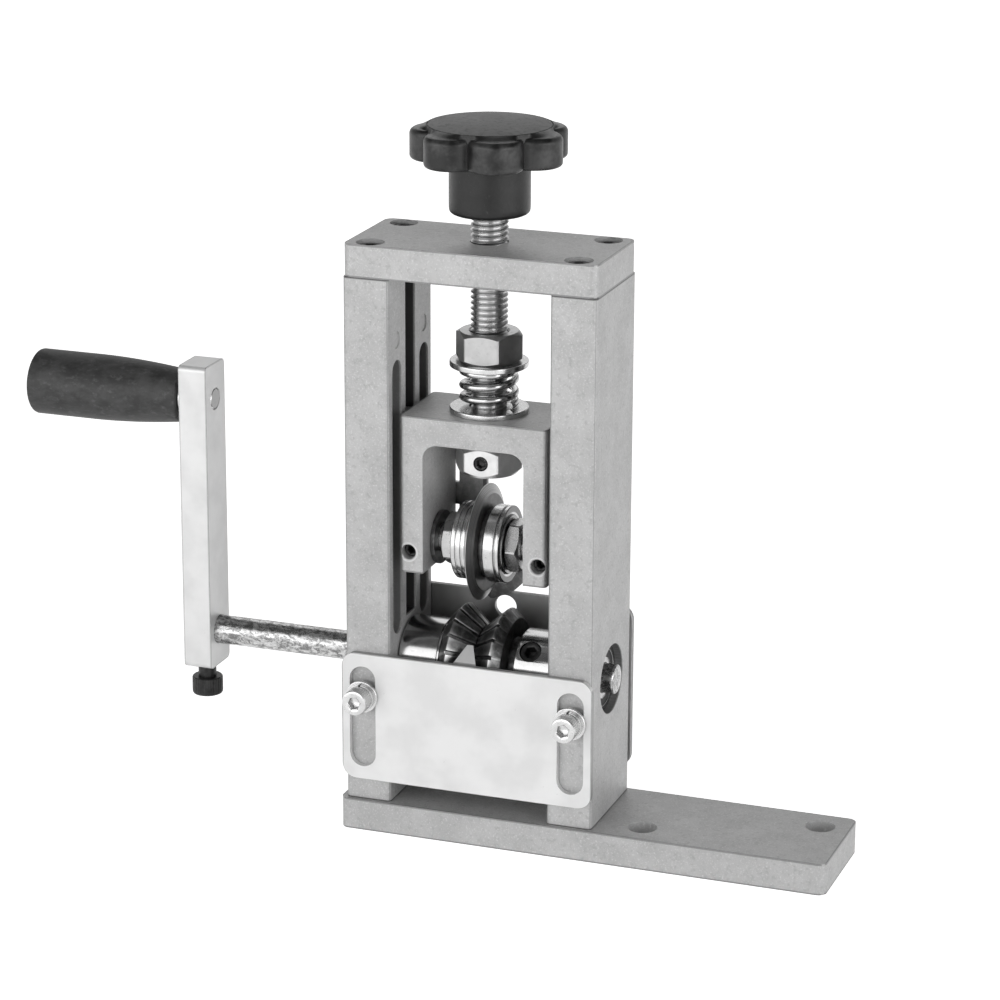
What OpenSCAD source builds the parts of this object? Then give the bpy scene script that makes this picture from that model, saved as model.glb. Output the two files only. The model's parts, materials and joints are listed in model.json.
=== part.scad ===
// Hand crank wire stripper: a tower of two columns on a base plate, a crank shaft with two toothed
// feed gears, and a sprung blade carriage that a star knob on a threaded spindle sets up and down.
// Millimetres. X runs along the crank shaft, Y from front to back, Z up.
// The origin is on the base's underside, under the middle of the tower.

/* [Base plate] */
// Length of the base plate along X
base_l = 136.2; // [125:0.1:180]
// Thickness of the base plate
base_t = 8.7; // [7.5:0.1:14]
// How far the base reaches past the tower's left side
base_left = 1.5; // [0:0.5:6]
// How far the base reaches in front of the tower
base_front = 1.1; // [0:0.1:2.5]
// How far the base reaches behind the tower
base_back = 0.2; // [0:0.1:30]
// Diameter of the two fixing holes
fix_hole_dia = 8; // [4:0.5:10]
// Distance of the near fixing hole from the tower's right side
near_hole_x = 12.2; // [6:0.1:25]
// Distance of the far fixing hole from the base's right end
far_hole_x = 8.2; // [6:0.1:15]
// Distance of each fixing hole from the base's long centre line
fix_hole_y = 8.6; // [0:0.1:10]

/* [Tower] */
// Width of the tower over both columns
tower_w = 70; // [68:0.5:90]
// Depth of the columns and the top plate
tower_d = 32.2; // [31.8:0.1:34]
// Width of each column along X
column_w = 12.7; // [11.5:0.1:13]
// Height of the columns
column_h = 145.4; // [142:0.1:165]
// Thickness of the top plate
top_t = 8.8; // [7:0.1:14]
// Radius of the upright edges of the columns and the carriage
edge_r = 1.2; // [0.3:0.1:2]
// Corner radius of the base plate and the top plate
frame_corner_r = 2.4; // [1:0.1:2.8]
// Width of the guide groove down each column's inner face
groove_w = 7.2; // [5:0.1:8]
// Depth of the guide groove
groove_depth = 3; // [2:0.1:3.5]
// Height of the guide groove's lower end above the crank shaft's axis
groove_low = 12; // [11.5:0.5:25]
// Width of the long round-ended pockets beside each groove
pocket_w = 6.6; // [3:0.1:7]
// Length of the pockets
pocket_l = 76; // [40:1:80]
// Depth of the pockets
pocket_depth = 2.4; // [0.5:0.1:3]

/* [Crank] */
// Height of the crank shaft's axis above the base's underside
shaft_z = 46.2; // [44:0.1:48]
// Diameter of the crank shaft
shaft_dia = 8; // [6:0.5:8]
// Distance of the crank arm's right face from the tower's left side
arm_gap = 44.2; // [20:0.1:70]
// Thickness of the crank arm along X
arm_t = 8.1; // [7:0.1:12]
// Width of the crank arm along Y
arm_w = 12.5; // [11:0.1:16]
// Crank radius, from the shaft's axis to the grip's axis
crank_r = 66.2; // [45:0.1:90]
// How far the arm reaches past the shaft's axis and past the grip's axis
arm_end = 10.1; // [8:0.1:14]
// Length of the handle grip
grip_l = 43.8; // [35:0.1:80]
// Diameter of the grip beside the arm
grip_near_dia = 14.6; // [13:0.1:24]
// Largest diameter of the grip, near its free end
grip_far_dia = 18; // [15:0.1:28]
// Diameter of the bolt that the grip turns on
handle_bolt_dia = 6; // [4:0.5:6.5]

/* [Feed gears] */
// Place along X of the cutting plane, where the two feed gears meet
cut_x = -0.9; // [-1.5:0.1:1]
// Radius of the feed gears at their large ends
gear_big_r = 15.8; // [14:0.1:15.8]
// Radius of the feed gears at their small ends
gear_small_r = 10.4; // [9:0.1:11]
// Length of each gear's toothed face along X
gear_face = 6; // [4:0.1:6.3]
// Number of teeth on each feed gear
gear_teeth = 20; // [10:1:24]
// Width of the slots between the teeth
slot_w = 1; // [0.6:0.1:1.8]
// Diameter of the collars that lock the gears on the shaft
collar_dia = 22; // [17:0.1:24]
// Length of each collar
collar_l = 11.2; // [8:0.1:11.4]

/* [Cutter] */
// Height of the blade axle above the crank shaft's axis, at rest
axle_up = 34.4; // [33.4:0.1:36]
// Diameter of the blade
blade_dia = 31.6; // [26:0.1:32]
// Diameter of the blade's bore
blade_bore = 16.4; // [16.2:0.1:17.5]
// Thickness of the blade
blade_t = 2.6; // [1.5:0.1:3]
// Width of the blade's ground bevel
bevel_w = 2.7; // [1:0.1:4]
// Diameter of the press wheels beside the blade
wheel_dia = 21; // [19:0.1:21.4]
// Width of the left press wheel
left_wheel_w = 5; // [4.5:0.1:5]
// Width of the right press wheel
right_wheel_w = 4.6; // [4.2:0.1:5]
// Diameter of the blade axle
axle_dia = 8; // [6:0.5:8]

/* [Blade carriage] */
// Width of the carriage between its guide tongues
carriage_w = 41; // [40:0.1:44]
// Depth of the carriage
carriage_d = 25; // [24:0.5:25.4]
// Height of the carriage
carriage_h = 43.2; // [42.6:0.1:46]
// Thickness of the web across its top
web_t = 7.4; // [6:0.1:8]
// Width of the window between its legs
window_w = 28.2; // [28:0.1:29]
// Height of the blade axle above the ends of the legs
axle_in_leg = 6.8; // [5.8:0.1:7.5]
// Radius of the window's upper corners
window_r = 4; // [1:0.5:6]

/* [Spindle and spring] */
// Diameter of the spindle's thread, a metric coarse thread
spindle_dia = 10; // [8:0.5:10]
// Pitch of the spindle's thread
spindle_pitch = 1.5; // [1:0.05:1.75]
// Distance across the flats of the two nuts on the spindle
nut_flats = 16; // [15:0.5:18]
// Height of the nuts
nut_h = 8; // [6:0.1:8.4]
// Diameter of the spring's two washers
washer_dia = 21; // [18:0.5:24]
// Thickness of the spring's two washers
washer_t = 1.5; // [1:0.1:2]
// Outside diameter of the pressure spring
spring_dia = 16; // [15:0.1:18]
// Diameter of the spring's wire
wire_dia = 2; // [1.2:0.1:2]
// Length of the spring as it is fitted
spring_l = 11.1; // [11:0.1:12]
// Height of the star knob's underside above the top plate, at rest
knob_gap = 7.6; // [7.2:0.1:12]
// Diameter of the star knob over its lobes
knob_dia = 42; // [34:0.5:60]
// Diameter of the star knob's hub
hub_dia = 21.4; // [17:0.1:24]
// Height of the star knob's hub, up to the lobes
hub_h = 14; // [13.5:0.5:30]
// Height of the lobes at their rim
lobe_h = 8.6; // [6:0.1:12]
// Number of lobes on the star knob
lobes = 7; // [5:1:8]

/* [Guide plates] */
// Width of the guide plates
plate_w = 71; // [68:0.1:74]
// Height of the front guide plate
front_plate_h = 36; // [32:0.5:38]
// Height of the rear guide plate
rear_plate_h = 46.5; // [38:0.5:48]
// Thickness of the guide plates
plate_t = 1.6; // [1:0.1:2]
// Corner radius of the guide plates
plate_r = 4; // [1:0.5:6]
// Width of the upright slots in the guide plates
plate_slot_w = 7.2; // [5:0.1:8]
// Length of the upright slots
plate_slot_l = 28.4; // [24:0.1:29]
// Diameter of the hole in the rear guide plate that the stripped wire leaves through
exit_dia = 6.2; // [5:0.1:14]

/* [Hidden] */
$fn = 64;

// Overrun of every cut past the face it opens
cut_over = 1;
// Clearance between a turned piece and its bore
fit_gap = 0.02;
// Clearance round a piece that turns or slides
run_gap = 0.05;
// Clearance beside a loose face
face_gap = 0.3;

// Heights of the main levels
top_z = base_t + column_h;
lid_z = top_z + top_t;
axle_z = shaft_z + axle_up;
leg_z = axle_z - axle_in_leg;
carriage_z = leg_z + carriage_h;
spring_z = carriage_z + washer_t;
spring_top = spring_z + spring_l;
nut_z = spring_top + washer_t;
thrust_washer_t = 1;
thrust_washer_r = 8.6;
lock_nut_z = carriage_z - web_t - run_gap - thrust_washer_t - nut_h;
knob_z = lid_z + knob_gap;
inner_x = tower_w / 2 - column_w;
outer_x = tower_w / 2;
column_x = outer_x - column_w / 2;
front_y = -tower_d / 2;
back_y = tower_d / 2;
base_x0 = -outer_x - base_left;
base_y0 = front_y - base_front;
base_d = tower_d + base_front + base_back;
base_mid_y = base_y0 + base_d / 2;

// Small metric screws: shank radius, head radius, head height and key size across flats
m4_r = 2;
m4_head_r = 3.5;
m4_head_h = 4;
m4_key = 3;
m5_r = 2.5;
m5_head_r = 4.25;
m5_head_h = 5;
m5_key = 4;
m6_r = 3;
m6_key = 3;
key_share = 0.55;
hex_share = 1 / cos(30);

// Screws down into and up into the columns
screw_y = 12;
head_sink = 0.9;
top_screw_l = 18;
base_screw_l = 18;
head_room = 0.25;

// Ball bearings on the crank shaft: outer radius, width, ring radii and ball radius
shaft_brg_r = 9.5;
shaft_brg_w = 6;
shaft_race_in = 5.7;
shaft_race_out = 7.7;
shaft_ball_r = 1.5;
shaft_brg_lip_r = 8;
shaft_brg_sink = 2;
shaft_brg_x = outer_x - shaft_brg_sink - shaft_brg_w;
// Ball bearings on the blade axle
blade_brg_r = 8;
blade_brg_w = 5;
blade_race_in = 5.2;
blade_race_out = 6.9;
blade_ball_r = 1;
shield_t = 0.4;
race_gap = 0.25;
ring_gap = 0.12;
ball_count = 7;

// Column details
mark_r = 2.3;
mark_depth = 0.3;
mark_up = 5.4;
pocket_low = 9;
plate_screw_z = 39;
plate_screw_x = 29.5;
plate_screw_l = 6;
lock_washer_r = 3.8;
lock_washer_t = 1.3;
lock_washer_cut = 0.5;
flat_washer_r = 4.5;
flat_washer_t = 1;
plate_face_y = front_y - run_gap - plate_t;
lock_washer_y = plate_face_y - run_gap - flat_washer_t;
head_y = lock_washer_y - lock_washer_t;

// Guide plate details: lower edge and slot heights, and the tongue that leads the wire in
front_plate_z = 15.1;
rear_plate_z = 14.8;
front_slot_z = 3.8;
rear_slot_z = 10.2;
tongue_w = 8.2;
tongue_tip_w = 1.8;
tongue_l = 4.6;
tongue_rise = 4;
tongue_t = 1.4;
exit_rim = 1.1;

// Crank details
arm_x = -outer_x - arm_gap;
grip_z = shaft_z + crank_r;
shaft_out = 1.6;
shaft_in_arm = 0.6;
arm_r = 1.5;
clamp_gap = 4;
washer_clear = 0.1;
handle_washer_r = 5.6;
handle_washer_t = 0.9;
bolt_head_r = 4.6;
bolt_head_h = 3.6;
bolt_sink = 2;
grip_end_r = 2;
grip_max_share = 0.5;
grip_rim = 0.8;
grip_x1 = arm_x - arm_t - handle_washer_t - run_gap;
grip_x0 = grip_x1 - grip_l;

// Feed gear details
gear_gap = 0.15;
gear_back = 2.6;
gear_boss_r = 7.6;
tooth_depth = 1.1;
collar_edge = 0.5;
collar_screw_x = 3.9;
collar_screw_sink = 0.5;
collar_screw_angle = 45;
spacer_r = 5.5;
// Collars end just short of the columns, and the gears' bosses reach them
collar_x1 = inner_x - face_gap;
collar_x0 = collar_x1 - collar_l;

// Cutter details
blade_x0 = cut_x - blade_t / 2;
blade_x1 = cut_x + blade_t / 2;
wheel_gap = 1.3;
sleeve_r = blade_bore / 2 - fit_gap;
sleeve_bore_r = 6.6;
shoulder_h = 1.4;
notch_r = 1;
left_wheel_x = blade_x0 - left_wheel_w;
right_wheel_x = blade_x1 + wheel_gap;
right_brg_x = right_wheel_x - (blade_brg_w - right_wheel_w) / 2;
left_brg_x = blade_x0 - blade_brg_w;
wheel_groove_w = 0.5;
wheel_groove_depth = 0.8;
wheel_flange_w = 1;
knurl_depth = 0.25;
axle_nut_flats = 13;
axle_nut_h = 4;
axle_washer_r = 7.3;
axle_washer_t = 1.2;
axle_end = 0.4;

// Carriage details
tongue_out = 2.6;
groove_gap = 0.1;
tongue_y = groove_w / 2 - groove_gap;
tongue_reach = inner_x - carriage_w / 2 + tongue_out;
tongue_z0 = 2.4;
tongue_z1 = 2.2;
leg_screw_x = 18.2;
leg_screw_l = 6;
leg_screw_down = 1.2;
leg_chamfer = 0.3;
spindle_room = 0.4;

// Splitter plate on the carriage's back: its edges, and places up and down from the blade axle
split_t = 1.6;
split_slit = 1;
split_strip_w = 7.9;
split_head_x = 19.4;
split_head_low = 17.9;
split_head_top = 33.2;
split_foot_z = -10.6;
split_tip_x = -2.3;
split_tip_w = 0.9;
split_tip_z = -20.4;
split_right = 6.4;
split_rise = 2.8;
split_tab_low = 5.4;
split_tab_top = 11.6;
split_tab_x = 19.2;
split_leg_screw_x = -17.3;
split_leg_screw_z = 8.5;
split_web_screw_x = -9.2;
split_web_screw_down = 3.7;
split_screw_head_r = 2.9;
split_screw_head_h = 0.7;
split_screw_l = 5;
split_face_y = carriage_d / 2 + run_gap + split_t;

// Knob details
knob_lobe_share = 0.36;
lobe_angle = -64.3;
knob_dome = 0.8;
knob_round = 1.6;
insert_r = 6.5;
insert_l = 13;
cap_r = 16.3;
cap_t = 1.2;
cap_crown = 1;
crown_steps = 4;
nut_angle = 4;
left_nut_angle = 0;
right_nut_angle = 30;
nut_chamfer = 0.9;
spindle_tip = 0.6;
chamfer_share = 0.4;
spindle_chamfer = chamfer_share * spindle_pitch;
knob_in = 12.6;

// Spring wire: turns from the lower end up, closer together there and level at the top
wire_r = wire_dia / 2;
coil_r = spring_dia / 2 - wire_r;
close_gap = 0.5;
low_pitch = wire_dia + close_gap;
top_pitch = 0.6;
low_turns = 1;
mid_turns = 1.7;
top_turns = 0.4;
coil_turns = low_turns + mid_turns + top_turns;
wire_rise = spring_l - wire_dia - 2 * run_gap;
mid_rise = wire_rise - low_turns * low_pitch - top_turns * top_pitch;
rings_per_turn = 8;
wire_sides = 6;
coil_rings = ceil(coil_turns * rings_per_turn);
coil_start = -20;

// Height of the wire's middle after t turns, above the spring's lower washer
function wire_z(t) = wire_r + run_gap + (
    t < low_turns ? t * low_pitch
    : t < low_turns + mid_turns ? low_turns * low_pitch + (t - low_turns) * mid_rise / mid_turns
    : wire_rise - (coil_turns - t) * top_pitch);
function coil_point(t) =
    let (a = coil_start + 360 * t)
    [coil_r * cos(a), coil_r * sin(a), wire_z(t)];
function coil_side(t) =
    let (a = coil_start + 360 * t)
    [-sin(a), cos(a), 0];
coil_path = concat(
    [coil_point(0) - wire_dia * coil_side(0)],
    [for (i = [0 : coil_rings]) coil_point(coil_turns * i / coil_rings)],
    [coil_point(coil_turns) + wire_dia * coil_side(coil_turns)]);
coil_turn_at = concat([0], [for (i = [0 : coil_rings]) coil_turns * i / coil_rings], [coil_turns]);
coil_rows = len(coil_path);
// One ring of points round the wire at each place on its path
coil_points = [for (i = [0 : coil_rows - 1])
    for (k = [0 : wire_sides - 1])
        let (a = coil_start + 360 * coil_turn_at[i])
        let (b = 360 * k / wire_sides)
        coil_path[i] + wire_r * (cos(b) * [cos(a), sin(a), 0] + sin(b) * [0, 0, 1])];
coil_faces = concat(
    [for (k = [1 : wire_sides - 2]) [0, k, k + 1]],
    [for (i = [0 : coil_rows - 2])
        for (k = [0 : wire_sides - 1])
            for (f = [0, 1])
                let (k2 = (k + 1) % wire_sides)
                let (p = i * wire_sides)
                f == 0 ? [p + k, p + wire_sides + k, p + k2]
                    : [p + k2, p + wire_sides + k, p + wire_sides + k2]],
    [for (k = [1 : wire_sides - 2])
        let (p = (coil_rows - 1) * wire_sides)
        [p, p + k + 1, p + k]]);
half_turn = ceil(rings_per_turn / 2);
coil_gap = min([for (i = [0 : coil_rows - 1 - half_turn])
    for (j = [i + half_turn : coil_rows - 1])
        norm(coil_path[i] - coil_path[j])]) - wire_dia;
echo(coil_gap = coil_gap);

// A rectangle with round corners, its middle at the origin
module round_rect(w, d, r) {
    square([w - 2 * r, d], center = true);
    square([w, d - 2 * r], center = true);
    for (x = [-1, 1], y = [-1, 1])
        translate([x * (w / 2 - r), y * (d / 2 - r)]) circle(r);
}

// A plate lying flat, with round upright edges
module flat_plate(w, d, h, r) {
    linear_extrude(h) round_rect(w, d, r);
}

// A round bar along X between two places
module bar_x(r, x0, x1) {
    translate([x0, 0, 0]) rotate([0, 90, 0]) cylinder(r = r, h = x1 - x0);
}

// A round bar along Y between two places
module bar_y(r, y0, y1) {
    translate([0, y1, 0]) rotate([90, 0, 0]) cylinder(r = r, h = y1 - y0);
}

// A hexagonal bar standing on the origin
module hex_bar(flats, h) {
    cylinder(r = flats / 2 * hex_share, h = h, $fn = 6);
}

// A socket head screw with its head's underside on the origin and its shank pointing down
module socket_screw(shank_r, head_r, head_h, key, l) {
    difference() {
        union() {
            cylinder(r = head_r, h = head_h);
            translate([0, 0, -l]) cylinder(r = shank_r, h = l + cut_over);
        }
        translate([0, 0, head_h * (1 - key_share)]) hex_bar(key, head_h);
    }
}

// A headless screw with its socket on the origin and its body pointing down
module grub_screw(r, key, l) {
    difference() {
        translate([0, 0, -l]) cylinder(r = r, h = l);
        translate([0, 0, -l * key_share]) hex_bar(key, l);
    }
}

// A hexagonal nut standing on the origin, with both of its ends chamfered
module hex_nut(flats, h, bore_r, chamfer) {
    corner_r = flats / 2 * hex_share;
    cone_h = chamfer * h / flats;
    difference() {
        intersection() {
            hex_bar(flats, h);
            union() {
                cylinder(r1 = corner_r - chamfer, r2 = corner_r, h = cone_h);
                translate([0, 0, cone_h]) cylinder(r = corner_r, h = h - 2 * cone_h);
                translate([0, 0, h - cone_h]) cylinder(r1 = corner_r, r2 = corner_r - chamfer, h = cone_h);
            }
        }
        translate([0, 0, -cut_over]) cylinder(r = bore_r, h = h + 2 * cut_over);
    }
}

// A flat ring standing on the origin
module ring(r, bore_r, h) {
    difference() {
        cylinder(r = r, h = h);
        translate([0, 0, -cut_over]) cylinder(r = bore_r, h = h + 2 * cut_over);
    }
}

// A turned ring along X, from a place x0
module ring_x(r, bore_r, x0, w) {
    translate([x0, 0, 0]) rotate([0, 90, 0]) ring(r, bore_r, w);
}

// Outer ring of a shielded ball bearing along X, from x = 0
module bearing_outer(r, race_r, inner_r, ball_r, w) {
    pitch_r = (race_r + inner_r) / 2;
    rotate([0, 90, 0]) difference() {
        cylinder(r = r - fit_gap, h = w);
        translate([0, 0, shield_t]) cylinder(r = race_r, h = w - 2 * shield_t);
        translate([0, 0, -cut_over]) cylinder(r = inner_r + race_gap, h = w + 2 * cut_over);
        translate([0, 0, w / 2]) rotate_extrude() translate([pitch_r, 0]) circle(ball_r + ring_gap);
    }
}

// Inner ring of a ball bearing along X, from x = 0
module bearing_inner(bore_r, inner_r, race_r, ball_r, w) {
    pitch_r = (race_r + inner_r) / 2;
    rotate([0, 90, 0]) difference() {
        cylinder(r = inner_r, h = w);
        translate([0, 0, -cut_over]) cylinder(r = bore_r + fit_gap, h = w + 2 * cut_over);
        translate([0, 0, w / 2]) rotate_extrude() translate([pitch_r, 0]) circle(ball_r + ring_gap);
    }
}

// Balls of a bearing along X, from x = 0
module bearing_balls(inner_r, race_r, ball_r, w) {
    for (i = [0 : ball_count - 1])
        translate([w / 2, 0, 0]) rotate([i * 360 / ball_count, 0, 0])
            translate([0, 0, (inner_r + race_r) / 2]) sphere(ball_r);
}

// Places of the four screws that join the columns to the plates
module each_column_screw() {
    for (x = [-1, 1], y = [-1, 1])
        translate([x * column_x, y * screw_y, 0]) children();
}

// Places of the guide plates' screws: front pair, then rear pair
module each_plate_screw() {
    for (x = [-1, 1], y = [0, 1])
        rotate([0, 0, y * 180]) translate([x * plate_screw_x, 0, plate_screw_z]) children();
}

module base_plate() {
    color([0.66, 0.67, 0.68]) difference() {
        translate([base_x0 + base_l / 2, base_mid_y, 0]) flat_plate(base_l, base_d, base_t, frame_corner_r);
        translate([outer_x + near_hole_x, base_mid_y - fix_hole_y, -cut_over])
            cylinder(d = fix_hole_dia, h = base_t + 2 * cut_over);
        translate([base_x0 + base_l - far_hole_x, base_mid_y + fix_hole_y, -cut_over])
            cylinder(d = fix_hole_dia, h = base_t + 2 * cut_over);
        each_column_screw() {
            translate([0, 0, -cut_over])
                cylinder(r = m4_head_r + head_room, h = m4_head_h + head_room + cut_over);
            cylinder(r = m4_r + fit_gap, h = base_t + cut_over);
        }
    }
}

module base_screws() {
    color([0.18, 0.18, 0.19]) each_column_screw()
        translate([0, 0, m4_head_h + head_room]) rotate([180, 0, 0])
            socket_screw(m4_r, m4_head_r, m4_head_h, m4_key, base_screw_l);
}

// One column, made for the right side, with its grooved face towards the left
module column() {
    pocket_y = (groove_w + tower_d) / 4;
    pocket_z0 = shaft_z + pocket_low + pocket_w / 2;
    pocket_z1 = pocket_z0 + pocket_l - pocket_w;
    difference() {
        translate([column_x, 0, base_t]) flat_plate(column_w, tower_d, column_h, edge_r);
        translate([inner_x - cut_over, -groove_w / 2, shaft_z + groove_low])
            cube([groove_depth + cut_over, groove_w, column_h]);
        for (y = [-1, 1]) {
            for (z = [pocket_z0, pocket_z1])
                translate([0, y * pocket_y, z])
                    bar_x(pocket_w / 2, inner_x - cut_over, inner_x + pocket_depth);
            translate([inner_x - cut_over, y * pocket_y - pocket_w / 2, pocket_z0])
                cube([pocket_depth + cut_over, pocket_w, pocket_z1 - pocket_z0]);
            translate([0, y * pocket_y, pocket_z1 + pocket_w / 2 + mark_up])
                bar_x(mark_r, inner_x - cut_over, inner_x + mark_depth);
        }
        translate([0, 0, shaft_z]) {
            bar_x(shaft_brg_lip_r, inner_x - cut_over, outer_x + cut_over);
            bar_x(shaft_brg_r, shaft_brg_x, outer_x + cut_over);
        }
        for (y = [-1, 1]) translate([column_x, y * screw_y, 0]) {
            translate([0, 0, top_z - top_screw_l])
                cylinder(r = m4_r + fit_gap, h = top_screw_l + cut_over);
            translate([0, 0, base_t - cut_over])
                cylinder(r = m4_r + fit_gap, h = base_screw_l + cut_over);
        }
        translate([plate_screw_x, 0, plate_screw_z]) {
            bar_y(m4_r + fit_gap, front_y - cut_over, front_y + plate_screw_l);
            bar_y(m4_r + fit_gap, back_y - plate_screw_l, back_y + cut_over);
        }
    }
}

module left_column() {
    color([0.72, 0.73, 0.74]) mirror([1, 0, 0]) column();
}

module right_column() {
    color([0.72, 0.73, 0.74]) column();
}

module top_plate() {
    color([0.72, 0.73, 0.74]) difference() {
        translate([0, 0, top_z]) flat_plate(tower_w, tower_d, top_t, frame_corner_r);
        translate([0, 0, top_z - cut_over])
            cylinder(r = spindle_dia / 2 + run_gap, h = top_t + 2 * cut_over);
        each_column_screw() {
            translate([0, 0, top_z - cut_over]) cylinder(r = m4_r + fit_gap, h = top_t + 2 * cut_over);
            translate([0, 0, lid_z - m4_head_h - head_sink])
                cylinder(r = m4_head_r + head_room, h = m4_head_h + head_sink + cut_over);
        }
    }
}

module top_plate_screws() {
    color([0.18, 0.18, 0.19]) each_column_screw()
        translate([0, 0, lid_z - m4_head_h - head_sink])
            socket_screw(m4_r, m4_head_r, m4_head_h, m4_key, top_screw_l);
}

module shaft_bearing_outer_rings() {
    color([0.75, 0.76, 0.78]) for (s = [0, 1]) mirror([s, 0, 0])
        translate([shaft_brg_x, 0, shaft_z])
            bearing_outer(shaft_brg_r, shaft_race_out, shaft_race_in, shaft_ball_r, shaft_brg_w);
}

module shaft_bearing_balls() {
    color([0.8, 0.8, 0.82]) for (s = [0, 1]) mirror([s, 0, 0])
        translate([shaft_brg_x, 0, shaft_z])
            bearing_balls(shaft_race_in, shaft_race_out, shaft_ball_r, shaft_brg_w);
}

module shaft_bearing_inner_rings() {
    color([0.75, 0.76, 0.78]) for (s = [0, 1]) mirror([s, 0, 0])
        translate([shaft_brg_x, 0, shaft_z])
            bearing_inner(shaft_dia / 2, shaft_race_in, shaft_race_out, shaft_ball_r, shaft_brg_w);
}

module guide_plate_screws() {
    color([0.78, 0.79, 0.8]) each_plate_screw()
        translate([0, head_y, 0]) rotate([90, 0, 0])
            socket_screw(m4_r, m4_head_r, m4_head_h, m4_key, plate_screw_l + front_y - head_y);
}

module guide_plate_flat_washers() {
    color([0.78, 0.79, 0.8]) each_plate_screw()
        translate([0, plate_face_y - run_gap, 0]) rotate([90, 0, 0])
            ring(flat_washer_r, m4_r + washer_clear, flat_washer_t);
}

module guide_plate_lock_washers() {
    color([0.78, 0.79, 0.8]) each_plate_screw()
        translate([0, lock_washer_y, 0]) rotate([90, 0, 0]) difference() {
            ring(lock_washer_r, m4_r + washer_clear, lock_washer_t);
            translate([-lock_washer_cut / 2, 0, -cut_over])
                cube([lock_washer_cut, lock_washer_r + cut_over, lock_washer_t + 2 * cut_over]);
        }
}

// A guide plate's outline in X and Z with its two upright slots
module guide_outline(h, slot_z) {
    difference() {
        translate([0, h / 2]) round_rect(plate_w, h, plate_r);
        for (x = [-1, 1]) translate([x * plate_screw_x, slot_z]) {
            for (z = [plate_slot_w / 2, plate_slot_l - plate_slot_w / 2])
                translate([0, z]) circle(d = plate_slot_w);
            translate([-plate_slot_w / 2, plate_slot_w / 2])
                square([plate_slot_w, plate_slot_l - plate_slot_w]);
        }
    }
}

// The tongue bent back from the front plate's top edge, tapered to fit between the feed gears
module lead_in_tongue() {
    z0 = front_plate_z + front_plate_h - tongue_t;
    y0 = plate_face_y;
    y1 = front_y - run_gap + tongue_l;
    intersection() {
        translate([cut_x - tongue_w, 0, 0]) rotate([90, 0, 90]) linear_extrude(2 * tongue_w)
            polygon([[y0, z0], [y0 + plate_t, z0 - tongue_t], [y1, z0 + tongue_rise],
                [y1, z0 + tongue_rise + tongue_t], [y0 + plate_t, z0 + tongue_t], [y0, z0 + tongue_t]]);
        translate([cut_x, 0, 0]) linear_extrude(z0 + tongue_w)
            polygon([[-tongue_w / 2, y0], [tongue_w / 2, y0], [tongue_tip_w / 2, y1],
                [-tongue_tip_w / 2, y1]]);
    }
}

module front_guide_plate() {
    color([0.88, 0.88, 0.89]) union() {
        translate([0, front_y - run_gap, front_plate_z]) rotate([90, 0, 0])
            linear_extrude(plate_t) guide_outline(front_plate_h, front_slot_z);
        lead_in_tongue();
    }
}

module rear_guide_plate() {
    color([0.8, 0.8, 0.81]) translate([0, back_y + run_gap + plate_t, rear_plate_z])
        rotate([90, 0, 0]) linear_extrude(plate_t) difference() {
            guide_outline(rear_plate_h, rear_slot_z);
            translate([cut_x, rear_plate_h - exit_rim - exit_dia / 2]) circle(d = exit_dia);
        }
}

module crank_shaft() {
    color([0.55, 0.56, 0.57]) translate([0, 0, shaft_z])
        bar_x(shaft_dia / 2, arm_x - arm_t + shaft_in_arm, outer_x + shaft_out);
}

module shaft_spacers() {
    color([0.75, 0.76, 0.78]) translate([0, 0, shaft_z]) for (s = [0, 1]) mirror([s, 0, 0])
        ring_x(spacer_r, shaft_dia / 2 + fit_gap, collar_x1, shaft_brg_x - collar_x1);
}

// One feed gear, its small end at the cutting plane and its boss towards +X
module feed_gear(boss_end) {
    slope = atan2(gear_big_r - gear_small_r, gear_face);
    face_l = norm([gear_face, gear_big_r - gear_small_r]);
    back_r = gear_big_r - gear_back;
    rotate([0, 90, 0]) rotate([0, 0, 180]) difference() {
        rotate_extrude() polygon([
            [shaft_dia / 2 + fit_gap, gear_gap], [gear_small_r, gear_gap],
            [gear_big_r, gear_gap + gear_face], [back_r, gear_gap + gear_face + gear_back],
            [gear_boss_r, gear_gap + gear_face + gear_back], [gear_boss_r, boss_end],
            [shaft_dia / 2 + fit_gap, boss_end]]);
        for (i = [0 : gear_teeth - 1])
            rotate([0, 0, (i + key_share) * 360 / gear_teeth])
                translate([gear_small_r, -slot_w / 2, gear_gap]) rotate([0, slope, 0])
                    translate([-tooth_depth, 0, -face_l])
                        cube([2 * tooth_depth, slot_w, 3 * face_l]);
    }
}

module right_feed_gear() {
    color([0.25, 0.25, 0.27]) translate([cut_x, 0, shaft_z]) feed_gear(collar_x0 - cut_x - run_gap);
}

module left_feed_gear() {
    color([0.25, 0.25, 0.27]) translate([cut_x, 0, shaft_z]) mirror([1, 0, 0])
        feed_gear(collar_x0 + cut_x - run_gap);
}

// One shaft collar on the right side, with its radial screw hole at the given angle from upright
module shaft_collar(angle) {
    difference() {
        union() {
            ring_x(collar_dia / 2, shaft_dia / 2 + fit_gap, collar_x0 + collar_edge,
                collar_l - 2 * collar_edge);
            ring_x(collar_dia / 2 - collar_edge, shaft_dia / 2 + fit_gap, collar_x0, collar_l);
        }
        rotate([angle, 0, 0]) translate([collar_x0 + collar_screw_x, 0, 0])
            cylinder(r = m6_r + fit_gap, h = collar_dia);
    }
}

module collar_screw(angle) {
    rotate([angle, 0, 0]) translate([collar_x0 + collar_screw_x, 0, collar_dia / 2 - collar_screw_sink])
        grub_screw(m6_r, m6_key, collar_dia / 2 - collar_screw_sink - shaft_dia / 2 - run_gap);
}

module right_shaft_collar() {
    color([0.8, 0.8, 0.82]) translate([0, 0, shaft_z]) shaft_collar(collar_screw_angle);
}

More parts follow.
